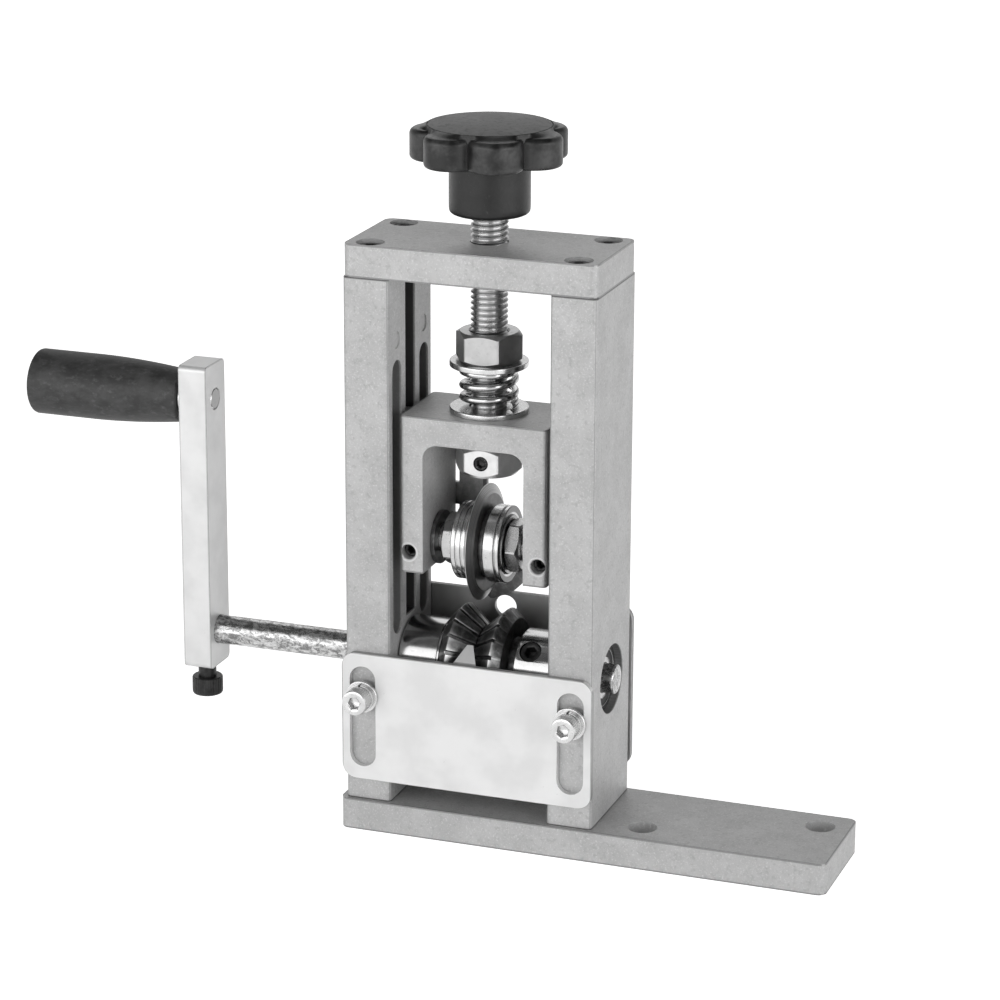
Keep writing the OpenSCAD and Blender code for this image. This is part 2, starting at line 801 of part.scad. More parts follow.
module left_shaft_collar() {
    color([0.8, 0.8, 0.82]) translate([0, 0, shaft_z]) mirror([1, 0, 0])
        shaft_collar(collar_screw_angle + 180);
}

module collar_set_screws() {
    color([0.12, 0.12, 0.13]) translate([0, 0, shaft_z]) {
        collar_screw(collar_screw_angle);
        mirror([1, 0, 0]) collar_screw(collar_screw_angle + 180);
    }
}

module crank_arm() {
    arm_h = crank_r + 2 * arm_end;
    color([0.9, 0.9, 0.91]) difference() {
        translate([arm_x - arm_t, 0, shaft_z - arm_end + arm_h / 2]) rotate([90, 0, 90])
            linear_extrude(arm_t) round_rect(arm_w, arm_h, arm_r);
        translate([0, 0, shaft_z])
            bar_x(shaft_dia / 2 + fit_gap, arm_x - arm_t + shaft_in_arm - fit_gap, arm_x + cut_over);
        translate([0, 0, grip_z])
            bar_x(handle_bolt_dia / 2 + fit_gap, arm_x - arm_t - cut_over, arm_x + cut_over);
        translate([arm_x - arm_t / 2, 0, shaft_z - arm_end - cut_over])
            cylinder(r = m5_r + fit_gap, h = arm_end + cut_over);
    }
}

module crank_clamp_screw() {
    screw_l = clamp_gap + arm_end - shaft_dia / 2 - run_gap;
    color([0.12, 0.12, 0.13]) translate([arm_x - arm_t / 2, 0, shaft_z - arm_end - clamp_gap])
        rotate([180, 0, 0]) socket_screw(m5_r, m5_head_r, m5_head_h, m5_key, screw_l);
}

module handle_washer() {
    color([0.78, 0.79, 0.8]) translate([0, 0, grip_z])
        ring_x(handle_washer_r, handle_bolt_dia / 2 + fit_gap, grip_x1 + run_gap, handle_washer_t);
}

module handle_bolt() {
    color([0.78, 0.79, 0.8]) translate([0, 0, grip_z]) difference() {
        union() {
            bar_x(handle_bolt_dia / 2, grip_x0 + bolt_sink, arm_x);
            bar_x(bolt_head_r, grip_x0 + bolt_sink, grip_x0 + bolt_sink + bolt_head_h);
        }
        translate([grip_x0 + bolt_sink - cut_over, 0, 0]) rotate([0, 90, 0])
            hex_bar(m5_key, bolt_head_h * key_share + cut_over);
    }
}

// The grip, turned about the bolt: slender at the arm, full near its free end, and rounded there
module handle_grip() {
    near_r = grip_near_dia / 2;
    far_r = grip_far_dia / 2;
    full_x = grip_l * grip_max_share;
    bore_r = handle_bolt_dia / 2 + run_gap;
    head_bore_r = bolt_head_r + face_gap;
    head_x = grip_l - bolt_sink - bolt_head_h - face_gap;
    color([0.2, 0.2, 0.21]) translate([grip_x1, 0, grip_z]) rotate([0, -90, 0]) rotate_extrude()
        union() {
            polygon([[bore_r, 0], [near_r - grip_rim, 0], [near_r, grip_rim], [far_r, full_x],
                [far_r, grip_l - grip_end_r], [far_r - grip_end_r, grip_l - grip_end_r],
                [far_r - grip_end_r, grip_l], [head_bore_r, grip_l], [head_bore_r, head_x],
                [bore_r, head_x]]);
            intersection() {
                translate([far_r - grip_end_r, grip_l - grip_end_r]) circle(grip_end_r);
                translate([far_r - grip_end_r - cut_over, grip_l - grip_end_r - cut_over])
                    square(grip_end_r + cut_over);
            }
        }
}

module spindle() {
    r = spindle_dia / 2;
    low = lock_nut_z - spindle_tip;
    color([0.75, 0.76, 0.77]) translate([0, 0, low]) {
        cylinder(r1 = r - spindle_chamfer, r2 = r, h = spindle_chamfer);
        translate([0, 0, spindle_chamfer]) cylinder(r = r, h = knob_z + knob_in - low - spindle_chamfer);
    }
}

// The knob's outline from above: round lobes round a disc
module lobed_outline() {
    lobe_r = knob_dia / 2 * knob_lobe_share;
    circle(knob_dia / 2 - lobe_r);
    for (i = [0 : lobes - 1])
        rotate(lobe_angle + i * 360 / lobes) translate([knob_dia / 2 - lobe_r, 0]) circle(lobe_r);
}

module star_knob() {
    r = knob_dia / 2;
    top = hub_h + lobe_h;
    color([0.12, 0.12, 0.125]) translate([0, 0, knob_z]) difference() {
        union() {
            cylinder(r1 = hub_dia / 2 - edge_r, r2 = hub_dia / 2, h = edge_r);
            translate([0, 0, edge_r]) cylinder(r = hub_dia / 2, h = hub_h);
            intersection() {
                translate([0, 0, hub_h]) linear_extrude(lobe_h + knob_dome) lobed_outline();
                rotate_extrude() polygon([[0, hub_h], [r - knob_round, hub_h], [r, hub_h + knob_round],
                    [r, top - knob_round], [r - knob_round, top], [cap_r, top + knob_dome],
                    [0, top + knob_dome]]);
            }
        }
        translate([0, 0, -cut_over]) cylinder(r = insert_r, h = insert_l + cut_over);
        translate([0, 0, top + knob_dome - cap_t]) cylinder(r = cap_r + fit_gap, h = cap_t + cut_over);
    }
}

module knob_cap() {
    color([0.14, 0.14, 0.145]) translate([0, 0, knob_z + hub_h + lobe_h + knob_dome - cap_t])
        rotate_extrude() polygon(concat([[0, 0], [cap_r, 0]],
            [for (i = [0 : crown_steps])
                let (inward = i / crown_steps)
                [cap_r * (1 - inward), cap_t + cap_crown * (1 - (1 - inward) ^ 2)]]));
}

module knob_insert() {
    color([0.7, 0.7, 0.72]) translate([0, 0, knob_z])
        ring(insert_r - fit_gap, spindle_dia / 2 + fit_gap, insert_l);
}

module spring_nut() {
    color([0.62, 0.62, 0.63]) translate([0, 0, nut_z]) rotate([0, 0, nut_angle])
        hex_nut(nut_flats, nut_h, spindle_dia / 2 + fit_gap, nut_chamfer);
}

module lock_nut() {
    color([0.85, 0.85, 0.86]) translate([0, 0, lock_nut_z]) rotate([0, 0, nut_angle])
        difference() {
            hex_nut(nut_flats, nut_h, spindle_dia / 2 + fit_gap, nut_chamfer);
            translate([0, 0, nut_h / 2]) rotate([90, 0, 0])
                cylinder(r = m4_r + fit_gap, h = nut_flats);
        }
}

module lock_nut_set_screw() {
    l = nut_flats / 2 - spindle_dia / 2 - run_gap;
    color([0.12, 0.12, 0.13]) translate([0, 0, lock_nut_z + nut_h / 2]) rotate([0, 0, nut_angle])
        translate([0, -nut_flats / 2, 0]) rotate([90, 0, 0]) grub_screw(m4_r, m4_r, l);
}

module thrust_washer() {
    color([0.8, 0.8, 0.82]) translate([0, 0, lock_nut_z + nut_h])
        ring(thrust_washer_r, spindle_dia / 2 + washer_clear, thrust_washer_t);
}

module upper_washer() {
    color([0.75, 0.75, 0.76]) translate([0, 0, spring_top])
        ring(washer_dia / 2, spindle_dia / 2 + face_gap, washer_t);
}

module lower_washer() {
    color([0.75, 0.75, 0.76]) translate([0, 0, carriage_z])
        ring(washer_dia / 2, spindle_dia / 2 + face_gap, washer_t);
}

module pressure_spring() {
    color([0.6, 0.6, 0.61]) translate([0, 0, spring_z]) polyhedron(coil_points, coil_faces);
}

// An inverted U: a web across the top and two legs, with a guide tongue on each side
module blade_carriage() {
    web_z = carriage_z - web_t;
    half_w = window_w / 2;
    color([0.72, 0.73, 0.74]) difference() {
        union() {
            translate([0, 0, leg_z]) flat_plate(carriage_w, carriage_d, carriage_h, edge_r);
            translate([-carriage_w / 2 - tongue_reach, -tongue_y, leg_z + tongue_z0])
                cube([carriage_w + 2 * tongue_reach, 2 * tongue_y, carriage_h - tongue_z0 - tongue_z1]);
        }
        translate([0, carriage_d / 2 + cut_over, 0]) rotate([90, 0, 0])
            linear_extrude(carriage_d + 2 * cut_over) union() {
                translate([-half_w, leg_z - cut_over])
                    square([window_w, carriage_h - web_t - window_r + cut_over]);
                translate([-half_w + window_r, web_z - window_r])
                    square([window_w - 2 * window_r, window_r]);
                for (x = [-1, 1]) translate([x * (half_w - window_r), web_z - window_r]) circle(window_r);
            }
        translate([0, 0, web_z - cut_over])
            cylinder(r = spindle_dia / 2 + spindle_room, h = web_t + 2 * cut_over);
        translate([0, 0, axle_z])
            bar_x(axle_dia / 2 + fit_gap, -carriage_w / 2 - cut_over, carriage_w / 2 + cut_over);
        for (x = [-1, 1]) translate([x * leg_screw_x, 0, axle_z - leg_screw_down]) {
            bar_y(m4_r + fit_gap, -carriage_d / 2 - cut_over, 0);
            translate([0, -carriage_d / 2, 0]) rotate([-90, 0, 0])
                cylinder(r1 = m4_r + leg_chamfer, r2 = m4_r, h = leg_chamfer);
        }
        each_splitter_screw()
            bar_y(m4_r + fit_gap, carriage_d / 2 - split_screw_l, carriage_d / 2 + cut_over);
    }
}

module carriage_set_screws() {
    color([0.12, 0.12, 0.13]) for (x = [-1, 1])
        translate([x * leg_screw_x, -axle_dia / 2 - run_gap - leg_screw_l, axle_z - leg_screw_down])
            rotate([90, 0, 0]) grub_screw(m4_r, m4_r, leg_screw_l);
}

module blade_axle() {
    reach = carriage_w / 2 - axle_end;
    color([0.75, 0.76, 0.78]) translate([0, 0, axle_z]) bar_x(axle_dia / 2, -reach, reach);
}

module axle_nuts() {
    left_x = left_brg_x - axle_nut_h - run_gap;
    right_x = right_brg_x + blade_brg_w + run_gap;
    color([0.85, 0.85, 0.86]) for (place = [[left_x, left_nut_angle], [right_x, right_nut_angle]])
        translate([place[0], 0, axle_z]) rotate([0, 90, 0]) rotate([0, 0, place[1]])
            hex_nut(axle_nut_flats, axle_nut_h, axle_dia / 2 + fit_gap, nut_chamfer);
}

module axle_washers() {
    reach = window_w / 2 - run_gap;
    color([0.5, 0.5, 0.52]) translate([0, 0, axle_z]) for (s = [0, 1]) mirror([s, 0, 0])
        ring_x(axle_washer_r, axle_dia / 2 + fit_gap, reach - axle_washer_t, axle_washer_t);
}

module blade_bearing_outer_rings() {
    color([0.3, 0.3, 0.32]) for (x = [left_brg_x, right_brg_x]) translate([x, 0, axle_z])
        bearing_outer(blade_brg_r, blade_race_out, blade_race_in, blade_ball_r, blade_brg_w);
}

module blade_bearing_inner_rings() {
    color([0.75, 0.76, 0.78]) for (x = [left_brg_x, right_brg_x]) translate([x, 0, axle_z])
        bearing_inner(axle_dia / 2, blade_race_in, blade_race_out, blade_ball_r, blade_brg_w);
}

module blade_bearing_balls() {
    color([0.8, 0.8, 0.82]) for (x = [left_brg_x, right_brg_x]) translate([x, 0, axle_z])
        bearing_balls(blade_race_in, blade_race_out, blade_ball_r, blade_brg_w);
}

module axle_spacer() {
    x0 = left_brg_x + blade_brg_w + run_gap;
    color([0.75, 0.76, 0.78]) translate([0, 0, axle_z])
        ring_x(blade_race_in, axle_dia / 2 + fit_gap, x0, right_brg_x - run_gap - x0);
}

// The blade: a ring ground from both sides to one edge, with a key notch in its bore
module blade() {
    r = blade_dia / 2;
    color([0.35, 0.35, 0.37]) translate([blade_x0, 0, axle_z]) rotate([0, 90, 0]) difference() {
        rotate_extrude() polygon([[blade_bore / 2, 0], [r - bevel_w, 0], [r, blade_t / 2],
            [r - bevel_w, blade_t], [blade_bore / 2, blade_t]]);
        translate([-blade_bore / 2, 0, -cut_over]) cylinder(r = notch_r, h = blade_t + 2 * cut_over);
    }
}

// The sleeve that the blade sits on, with a shoulder beside it and a round key for its notch
module blade_sleeve() {
    l = right_brg_x - blade_x0 - 2 * run_gap;
    shoulder_z = blade_t;
    color([0.6, 0.6, 0.62]) translate([blade_x0 + run_gap, 0, axle_z]) rotate([0, 90, 0]) difference() {
        union() {
            cylinder(r = sleeve_r, h = l);
            translate([0, 0, shoulder_z]) cylinder(r = sleeve_r + shoulder_h, h = l - shoulder_z);
            translate([-blade_bore / 2, 0, 0]) cylinder(r = notch_r - fit_gap, h = shoulder_z);
        }
        translate([0, 0, -cut_over]) cylinder(r = sleeve_bore_r, h = l + 2 * cut_over);
    }
}

module left_press_wheel() {
    r = wheel_dia / 2;
    band = left_wheel_w / 5;
    color([0.82, 0.82, 0.83]) translate([left_wheel_x, 0, axle_z]) rotate([0, 90, 0]) rotate_extrude()
        polygon([[blade_brg_r, 0], [r - knurl_depth, 0], [r, knurl_depth], [r, band],
            [r - knurl_depth, band + knurl_depth], [r, band + 2 * knurl_depth],
            [r, 2 * band], [r - knurl_depth, 2 * band + knurl_depth], [r, 2 * band + 2 * knurl_depth],
            [r, left_wheel_w - run_gap], [blade_brg_r, left_wheel_w - run_gap]]);
}

module right_press_wheel() {
    r = wheel_dia / 2;
    groove_x = right_wheel_w - wheel_flange_w - wheel_groove_w;
    color([0.82, 0.82, 0.83]) translate([right_wheel_x, 0, axle_z]) rotate([0, 90, 0]) rotate_extrude()
        polygon([[blade_brg_r, 0], [r, 0], [r, groove_x], [r - wheel_groove_depth, groove_x],
            [r - wheel_groove_depth, groove_x + wheel_groove_w], [r, groove_x + wheel_groove_w],
            [r, right_wheel_w - knurl_depth], [r - knurl_depth, right_wheel_w],
            [blade_brg_r, right_wheel_w]]);
}

// Places of the splitter plate's two screws: one in the left leg, one in the web
module each_splitter_screw() {
    translate([split_leg_screw_x, 0, axle_z + split_leg_screw_z]) children();
    translate([split_web_screw_x, 0, carriage_z - split_web_screw_down]) children();
}

// The plate behind the blade: a head on the web, a strip down with a tab on the left leg, and a
// pointed foot that stands in the cut
module splitter_plate() {
    left = -window_w / 2 + split_slit;
    strip = left + split_strip_w;
    color([0.5, 0.5, 0.52]) difference() {
        translate([0, split_face_y, axle_z]) rotate([90, 0, 0]) linear_extrude(split_t) union() {
            polygon([[left, split_head_low], [left, split_foot_z],
                [cut_x + split_tip_x - split_tip_w, split_tip_z], [cut_x + split_tip_x, split_tip_z],
                [cut_x + split_right - split_rise, split_tip_z + split_rise],
                [cut_x + split_right, split_tip_z + 2 * split_rise],
                [cut_x + split_right, split_foot_z], [strip, split_foot_z], [strip, split_head_low]]);
            translate([-split_tab_x, split_tab_low])
                square([split_tab_x + strip, split_tab_top - split_tab_low]);
            translate([-split_head_x, split_head_low])
                square([split_head_x + strip, split_head_top - split_head_low]);
        }
        each_splitter_screw()
            bar_y(m4_r + washer_clear, carriage_d / 2, split_face_y + cut_over);
    }
}

module splitter_screws() {
    color([0.78, 0.79, 0.8]) each_splitter_screw() {
        bar_y(split_screw_head_r, split_face_y, split_face_y + split_screw_head_h);
        bar_y(m4_r, carriage_d / 2 - split_screw_l, split_face_y);
    }
}

base_plate();
left_column();
right_column();
top_plate();
top_plate_screws();
base_screws();
shaft_bearing_outer_rings();
shaft_bearing_balls();
guide_plate_screws();
guide_plate_flat_washers();
guide_plate_lock_washers();
front_guide_plate();
rear_guide_plate();
crank_shaft();
shaft_bearing_inner_rings();
shaft_spacers();
left_feed_gear();
right_feed_gear();
left_shaft_collar();
right_shaft_collar();
collar_set_screws();
crank_arm();
crank_clamp_screw();
handle_bolt();
handle_washer();
handle_grip();
spindle();
star_knob();
knob_cap();
knob_insert();
spring_nut();
lock_nut();
lock_nut_set_screw();
thrust_washer();
upper_washer();
pressure_spring();
lower_washer();
blade_carriage();
carriage_set_screws();
blade_axle();
axle_nuts();
axle_washers();
blade_bearing_inner_rings();
axle_spacer();
splitter_plate();
splitter_screws();
blade();
blade_sleeve();
left_press_wheel();
right_press_wheel();
blade_bearing_outer_rings();
blade_bearing_balls();
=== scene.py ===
import json
import math

import bmesh
import bpy
from mathutils import Matrix, Vector


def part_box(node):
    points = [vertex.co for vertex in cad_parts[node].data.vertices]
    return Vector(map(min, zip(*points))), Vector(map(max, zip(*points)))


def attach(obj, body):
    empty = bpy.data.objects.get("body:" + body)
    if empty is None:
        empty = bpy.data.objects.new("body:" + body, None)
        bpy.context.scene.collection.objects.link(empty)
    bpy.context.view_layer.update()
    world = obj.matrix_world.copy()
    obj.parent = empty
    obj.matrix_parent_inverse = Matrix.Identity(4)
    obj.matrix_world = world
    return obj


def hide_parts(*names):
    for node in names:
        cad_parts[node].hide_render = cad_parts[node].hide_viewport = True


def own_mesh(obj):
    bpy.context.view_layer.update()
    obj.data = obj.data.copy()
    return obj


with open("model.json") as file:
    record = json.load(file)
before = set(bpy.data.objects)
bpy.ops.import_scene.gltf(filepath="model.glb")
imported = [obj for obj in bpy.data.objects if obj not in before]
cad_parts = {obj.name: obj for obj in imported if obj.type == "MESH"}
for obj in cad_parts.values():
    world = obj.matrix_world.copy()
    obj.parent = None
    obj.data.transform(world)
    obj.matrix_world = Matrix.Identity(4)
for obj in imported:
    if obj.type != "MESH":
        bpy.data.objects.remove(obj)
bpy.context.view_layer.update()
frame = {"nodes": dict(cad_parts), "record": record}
mm = 0.001
cad = frame["nodes"]
bodyOf = {node: body for body, nodes in frame["record"]["behaviour"]["bodies"].items() for node in nodes}
print("frame loaded:", len(cad), "CAD pieces")


# Node graphs
class Sock:  # a socket that takes part in Python sums
    def __init__(self, graph, out):
        self.graph, self.out = graph, out

    def calc(self, operation, *others, swap=False):
        terms = [*others, self] if swap else [self, *others]
        return self.graph.add("ShaderNodeMath", {"operation": operation}, dict(enumerate(terms)))

    def of(self, name):  # another output of the same node
        return Sock(self.graph, self.out.node.outputs[name])

    def __add__(self, other): return self.calc("ADD", other)
    def __sub__(self, other): return self.calc("SUBTRACT", other)
    def __mul__(self, other): return self.calc("MULTIPLY", other)
    def __truediv__(self, other): return self.calc("DIVIDE", other)
    def __rsub__(self, other): return self.calc("SUBTRACT", other, swap=True)
    def __rtruediv__(self, other): return self.calc("DIVIDE", other, swap=True)
    __radd__, __rmul__ = __add__, __mul__

    def sin(self): return self.calc("SINE")
    def cos(self): return self.calc("COSINE")
    def abs(self): return self.calc("ABSOLUTE")
    def sqrt(self): return self.calc("SQRT")
    def least(self, other): return self.calc("MINIMUM", other)
    def most(self, other): return self.calc("MAXIMUM", other)

    def ramp(self, low, high, start=0.0, end=1.0):  # from start at low to end at high, clamped
        return self.graph.add("ShaderNodeMapRange", {"clamp": True, "interpolation_type": "SMOOTHSTEP"},
                              {0: self, 1: low, 2: high, 3: start, 4: end})


class Graph:
    def __init__(self, tree):
        self.tree = tree

    def add(self, kind, settings=None, values=None, out=0):
        node = self.tree.nodes.new(kind)
        for name, value in (settings or {}).items():
            setattr(node, name, value)
        for key, value in (values or {}).items():
            if isinstance(value, Sock):
                self.tree.links.new(value.out, node.inputs[key])
            elif value is not None:
                node.inputs[key].default_value = value
        return Sock(self, node.outputs[out]) if node.outputs else None

    def xyz(self, x, y, z):
        return self.add("ShaderNodeCombineXYZ", values={0: x, 1: y, 2: z})

    def mix(self, share, first, second):  # colours
        return self.add("ShaderNodeMix", {"data_type": "RGBA"}, {0: share, 6: first, 7: second}, out=2)


def grey(value):
    return (value, value, value, 1)


class Finish(Graph):  # one surface finish
    def __init__(self, name):
        self.material = bpy.data.materials.new(name)
        self.material.use_nodes = True
        super().__init__(self.material.node_tree)
        self.tree.nodes.clear()
        self.place = self.add("ShaderNodeTexCoord").of("Object")
        self.shader = self.add("ShaderNodeBsdfPrincipled")
        self.add("ShaderNodeOutputMaterial", values={"Surface": self.shader})
        self.relief = None

    def set(self, **values):  # constants and links on the shader's own sockets
        for name, value in values.items():
            socket = self.shader.out.node.inputs[name.replace("_", " ")]
            if isinstance(value, Sock):
                self.tree.links.new(value.out, socket)
            else:
                socket.default_value = value

    def noise(self, size, detail=3.0, rough=0.5, stretch=(1, 1, 1), shift=0.0, warp=0.0):  # size in millimetres
        where = self.add("ShaderNodeMapping", values={"Vector": self.place, "Location": (shift, shift, shift),
                                                      "Scale": [1 / (size * mm * s) for s in stretch]})
        return self.add("ShaderNodeTexNoise", values={"Vector": where, "Scale": 1.0, "Detail": detail,
                                                      "Roughness": rough, "Distortion": warp})

    def between(self, mask, start, end, dull, pale):  # from a dull grey to a pale one as the mask rises
        return self.mix(mask.ramp(start, end), grey(dull), grey(pale))

    def layer(self, tone, mask, start, end, share, value):  # up to a share of one grey where the mask is high
        return self.mix(mask.ramp(start, end, 0, share), tone, grey(value))

    def sharpness(self):  # high on outer edges
        return self.add("ShaderNodeNewGeometry").of("Pointiness")

    def axes(self):
        parts = self.add("ShaderNodeSeparateXYZ", values={0: self.place})
        return parts, parts.of("Y"), parts.of("Z")

    def round(self, axis, centre):  # distance from an axis, in millimetres
        x, y, z = self.axes()
        first, second = {"X": (y, z), "Y": (x, z), "Z": (x, y)}[axis]
        a, b = first / mm - centre[0], second / mm - centre[1]
        return (a * a + b * b).sqrt()

    def edgeBand(self, low, high, width):  # 1 within width of two faces of a box, in millimetres
        near = []
        for place, start, end in zip(self.axes(), low, high):
            near.append((place / mm - start).abs().least((place / mm - end).abs()))
        a, b, c = near
        second = a.least(b).most(a.most(b).least(c))
        return second.ramp(width * 0.7, width, 1.0, 0.0)

    def bump(self, height, depth, strength=1.0):  # depth in millimetres; each bump lies on the one before
        values = {"Height": height, "Distance": depth * mm, "Strength": strength}
        if self.relief:
            values["Normal"] = self.relief
        self.relief = self.add("ShaderNodeBump", values=values)
        self.set(Normal=self.relief)


# Places read from the CAD, in millimetres
def boxOf(node):
    return ([value / mm for value in corner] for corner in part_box(node))


def span(node, axis):  # where a CAD node starts and ends
    low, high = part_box(node)
    return getattr(low, axis) / mm, getattr(high, axis) / mm


def middle(node, axis):
    low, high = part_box(node)
    return getattr((low + high) / 2 / mm, axis)


shaftHeight = middle("crank_shaft", "z")
axleHeight = middle("blade_axle", "z")
gripHeight = middle("handle_grip", "z")
plateScrewHeight = middle("guide_plate_screws", "z")
plateTop = {"front_guide_plate": span("front_guide_plate", "z")[0] + 36.0,  # below its tongue
            "rear_guide_plate": span("rear_guide_plate", "z")[1]}
groove = {"face": span("right_column", "x")[0], "half": 3.6, "deep": 3.0, "pocketHalf": 15}
shaftBore = {"radius": 9.62, "from": 25.5, "full": 26, "to": 34.85}
legHole = {"x": 18.2, "z": middle("carriage_set_screws", "z"), "rim": 2.4}
carriageHalf = 20.5


# Finishes
def blastedAluminium(name, node, halfWide=None, paintedShade=1.0):  # frame and carriage: fine sandblast, silver grey; paintedShade scales a darker copy as painted shade
    # bore, groove and joint are greys of painted shade; rim is the grey of a painted highlight
    look = {"dull": 0.45, "pale": 0.53, "pit": 0.33, "spark": 0.76, "bore": 0.03, "edge": 0.2, "groove": 0.035,
            "joint": 0.05, "rim": 0.74}
    low, high = boxOf(node)
    if halfWide:  # the carriage's own sides lie inside its tongues
        low[0], high[0] = -halfWide, halfWide
    f = Finish(name)
    cloud = f.noise(9, 3, 0.6)
    grain = f.noise(0.54, 2, 0.7)
    pits = f.noise(1.3, 3, 0.6, shift=7)
    tone = f.between(cloud, 0.3, 0.7, look["dull"] * paintedShade, look["pale"] * paintedShade)
    tone = f.layer(tone, pits, 0.5, 0.74, 0.55, look["pit"])
    tone = f.layer(tone, grain, 0.52, 0.74, 0.5, look["spark"])
    x, y, z = f.axes()
    x, y, z = x.abs() / mm, y.abs() / mm, z / mm
    reach = f.round("X", (0, shaftHeight))  # painted shade: the turned bearing bores are painted near black
    boreShade = (shaftBore["radius"] - reach).ramp(0, 0.2) * x.ramp(shaftBore["from"], shaftBore["full"])
    boreShade = boreShade * (shaftBore["to"] - x).ramp(0, 0.3)
    tone = f.mix(boreShade * 0.9, tone, grey(look["bore"]))
    band = f.edgeBand(low, high, 0.5)
    tone = f.mix(band * 0.8, tone, grey(look["edge"]))
    if "column" in node:  # painted shade darkens the guide groove, the channel beside it and both joints, top and bottom
        deep = x.ramp(groove["face"] + 0.3, groove["face"] + 0.8)
        deep = deep * (groove["face"] + groove["deep"] + 0.4 - x).ramp(0, 0.3)
        for half, share, dark in ((groove["pocketHalf"], 0.75, look["groove"] * 3),
                                  (groove["half"] + 0.35, 0.9, look["groove"])):
            tone = f.mix(deep * (half - y).ramp(0, 0.3) * share, tone, grey(dark))
        joint = (z - high[2]).abs().least((z - low[2]).abs())
        tone = f.mix(joint.ramp(0.16, 0.34, 0.85, 0.0), tone, grey(look["joint"]))
    if halfWide:  # painted highlight: a pale ring round the countersinks of the two screws in the legs
        for side in (-1, 1):
            rim = (f.round("Y", (side * legHole["x"], legHole["z"])) - legHole["rim"]).abs()
            tone = f.mix(rim.ramp(0.2, 0.42, 0.7, 0.0), tone, grey(look["rim"]))
    f.set(Base_Color=tone, Metallic=0.3, Roughness=0.5 + cloud * 0.12 - grain * 0.08 - band * 0.12)
    f.bump(grain, 0.06, 0.7)
    f.bump(pits, 0.05, 0.35)
    return f.material


def machinedEdge(name, tone, rough):  # eased edges: cut after blasting, smoother and darker
    f = Finish(name)
    cloud = f.noise(2.4, 3, 0.6, shift=5)
    nick = f.noise(0.6, 3, 0.7, shift=2)
    base = f.between(cloud, 0.3, 0.7, tone * 0.8, tone * 1.15)
    base = f.layer(base, nick, 0.58, 0.74, 0.5, min(tone * 2.1, 0.85))
    f.set(Base_Color=base, Metallic=0.5, Roughness=rough + cloud * 0.1)
    f.bump(nick, 0.02, 0.4)
    return f.material


def polishedSteel(name, node, dull, pale, metal):  # guide plates: rolled sheet, polished, with a dark rim
    f = Finish(name)
    cloud = f.noise(14, 3, 0.55)
    lines = f.noise(0.5, 2, 0.5, stretch=(60, 1, 0.9))
    spots = f.noise(1.6, 3, 0.6, shift=3)
    scratch = f.noise(0.35, 2, 0.6, stretch=(1, 1, 30), shift=11)
    tone = f.between(cloud, 0.35, 0.65, dull, pale)
    tone = f.layer(tone, spots, 0.68, 0.78, 0.4, dull * 0.72)
    x, _, z = f.axes()
    side = span(node, "x")[1]
    rim = (x.abs() / mm - side).abs().least((z / mm - plateTop[node]).abs())
    tone = f.mix(rim.ramp(0.15, 0.4, 0.7, 0.0), tone, grey(0.16))
    f.set(Base_Color=tone, Metallic=metal, Roughness=0.36 + cloud * 0.14 + scratch.ramp(0.62, 0.75) * 0.12)
    f.bump(lines, 0.004, 0.35)
    f.bump(spots, 0.01, 0.3)
    return f.material


def milledAluminium():  # crank arm: bright bar stock, fine lines along its length
    look = {"dull": 0.66, "pale": 0.76, "line": 0.72, "spot": 0.58, "edge": 0.36}
    f = Finish("bright_bar")
    cloud = f.noise(11, 3, 0.55, shift=5)
    lines = f.noise(0.3, 2, 0.6, stretch=(1, 1, 70))
    spots = f.noise(1.1, 3, 0.6, shift=2)
    tone = f.between(cloud, 0.3, 0.7, look["dull"], look["pale"])
    tone = f.layer(tone, lines, 0.5, 0.75, 0.3, look["line"])
    tone = f.layer(tone, spots, 0.66, 0.78, 0.35, look["spot"])
    tone = f.mix(f.edgeBand(*boxOf("crank_arm"), 0.4) * 0.55, tone, grey(look["edge"]))
    f.set(Base_Color=tone, Metallic=0.4, Roughness=0.38 + cloud * 0.1)
    f.bump(lines, 0.008, 0.5)
    return f.material


def turnedSteel(name, tone, rough, axis, centre, ring=0.22, depth=0.006, marks=0.25, face=None):
    f = Finish(name)  # bright parts off the lathe: fine rings and handling marks
    reach = f.round(axis, centre)
    along = dict(zip("XYZ", f.axes()))[axis] / mm
    rings = f.add("ShaderNodeTexNoise", {"noise_dimensions": "2D"},
                  {"Vector": f.xyz(reach / ring, along / ring, 0.0), "Scale": 1.0, "Detail": 2.0})
    cloud = f.noise(3.2, 3, 0.6, shift=4)
    stain = f.noise(1.2, 4, 0.7, shift=9)
    mixed = f.between(cloud, 0.3, 0.7, tone * 0.88, tone)
    mixed = f.layer(mixed, stain, 0.56, 0.75, marks, tone * 0.45)
    if face:  # the end face beyond a place on the axis is painted darker, as painted shade on the press wheel
        mixed = f.layer(mixed, along - face[0], 0, 0.1, 0.9, face[1])
    f.set(Base_Color=mixed, Metallic=1.0, Roughness=rough + cloud * 0.08 + stain.ramp(0.55, 0.75) * 0.1)
    f.bump(rings, depth, 0.6)
    return f.material


def mottledZinc():  # crank shaft: mottled plating on rolled bar
    look = {"dull": 0.17, "pale": 0.6, "spark": 0.82}
    f = Finish("mottled_zinc")
    blot = f.noise(1.15, 5, 0.75, stretch=(1.8, 1, 1), warp=0.7)
    fine = f.noise(0.4, 3, 0.7, shift=6)
    tone = f.between(blot, 0.4, 0.62, look["dull"], look["pale"])
    tone = f.layer(tone, fine, 0.55, 0.75, 0.6, look["spark"])
    f.set(Base_Color=tone, Metallic=0.95, Roughness=0.2 + blot * 0.14)
    f.bump(blot, 0.03, 0.45)
    f.bump(fine, 0.02, 0.5)
    return f.material


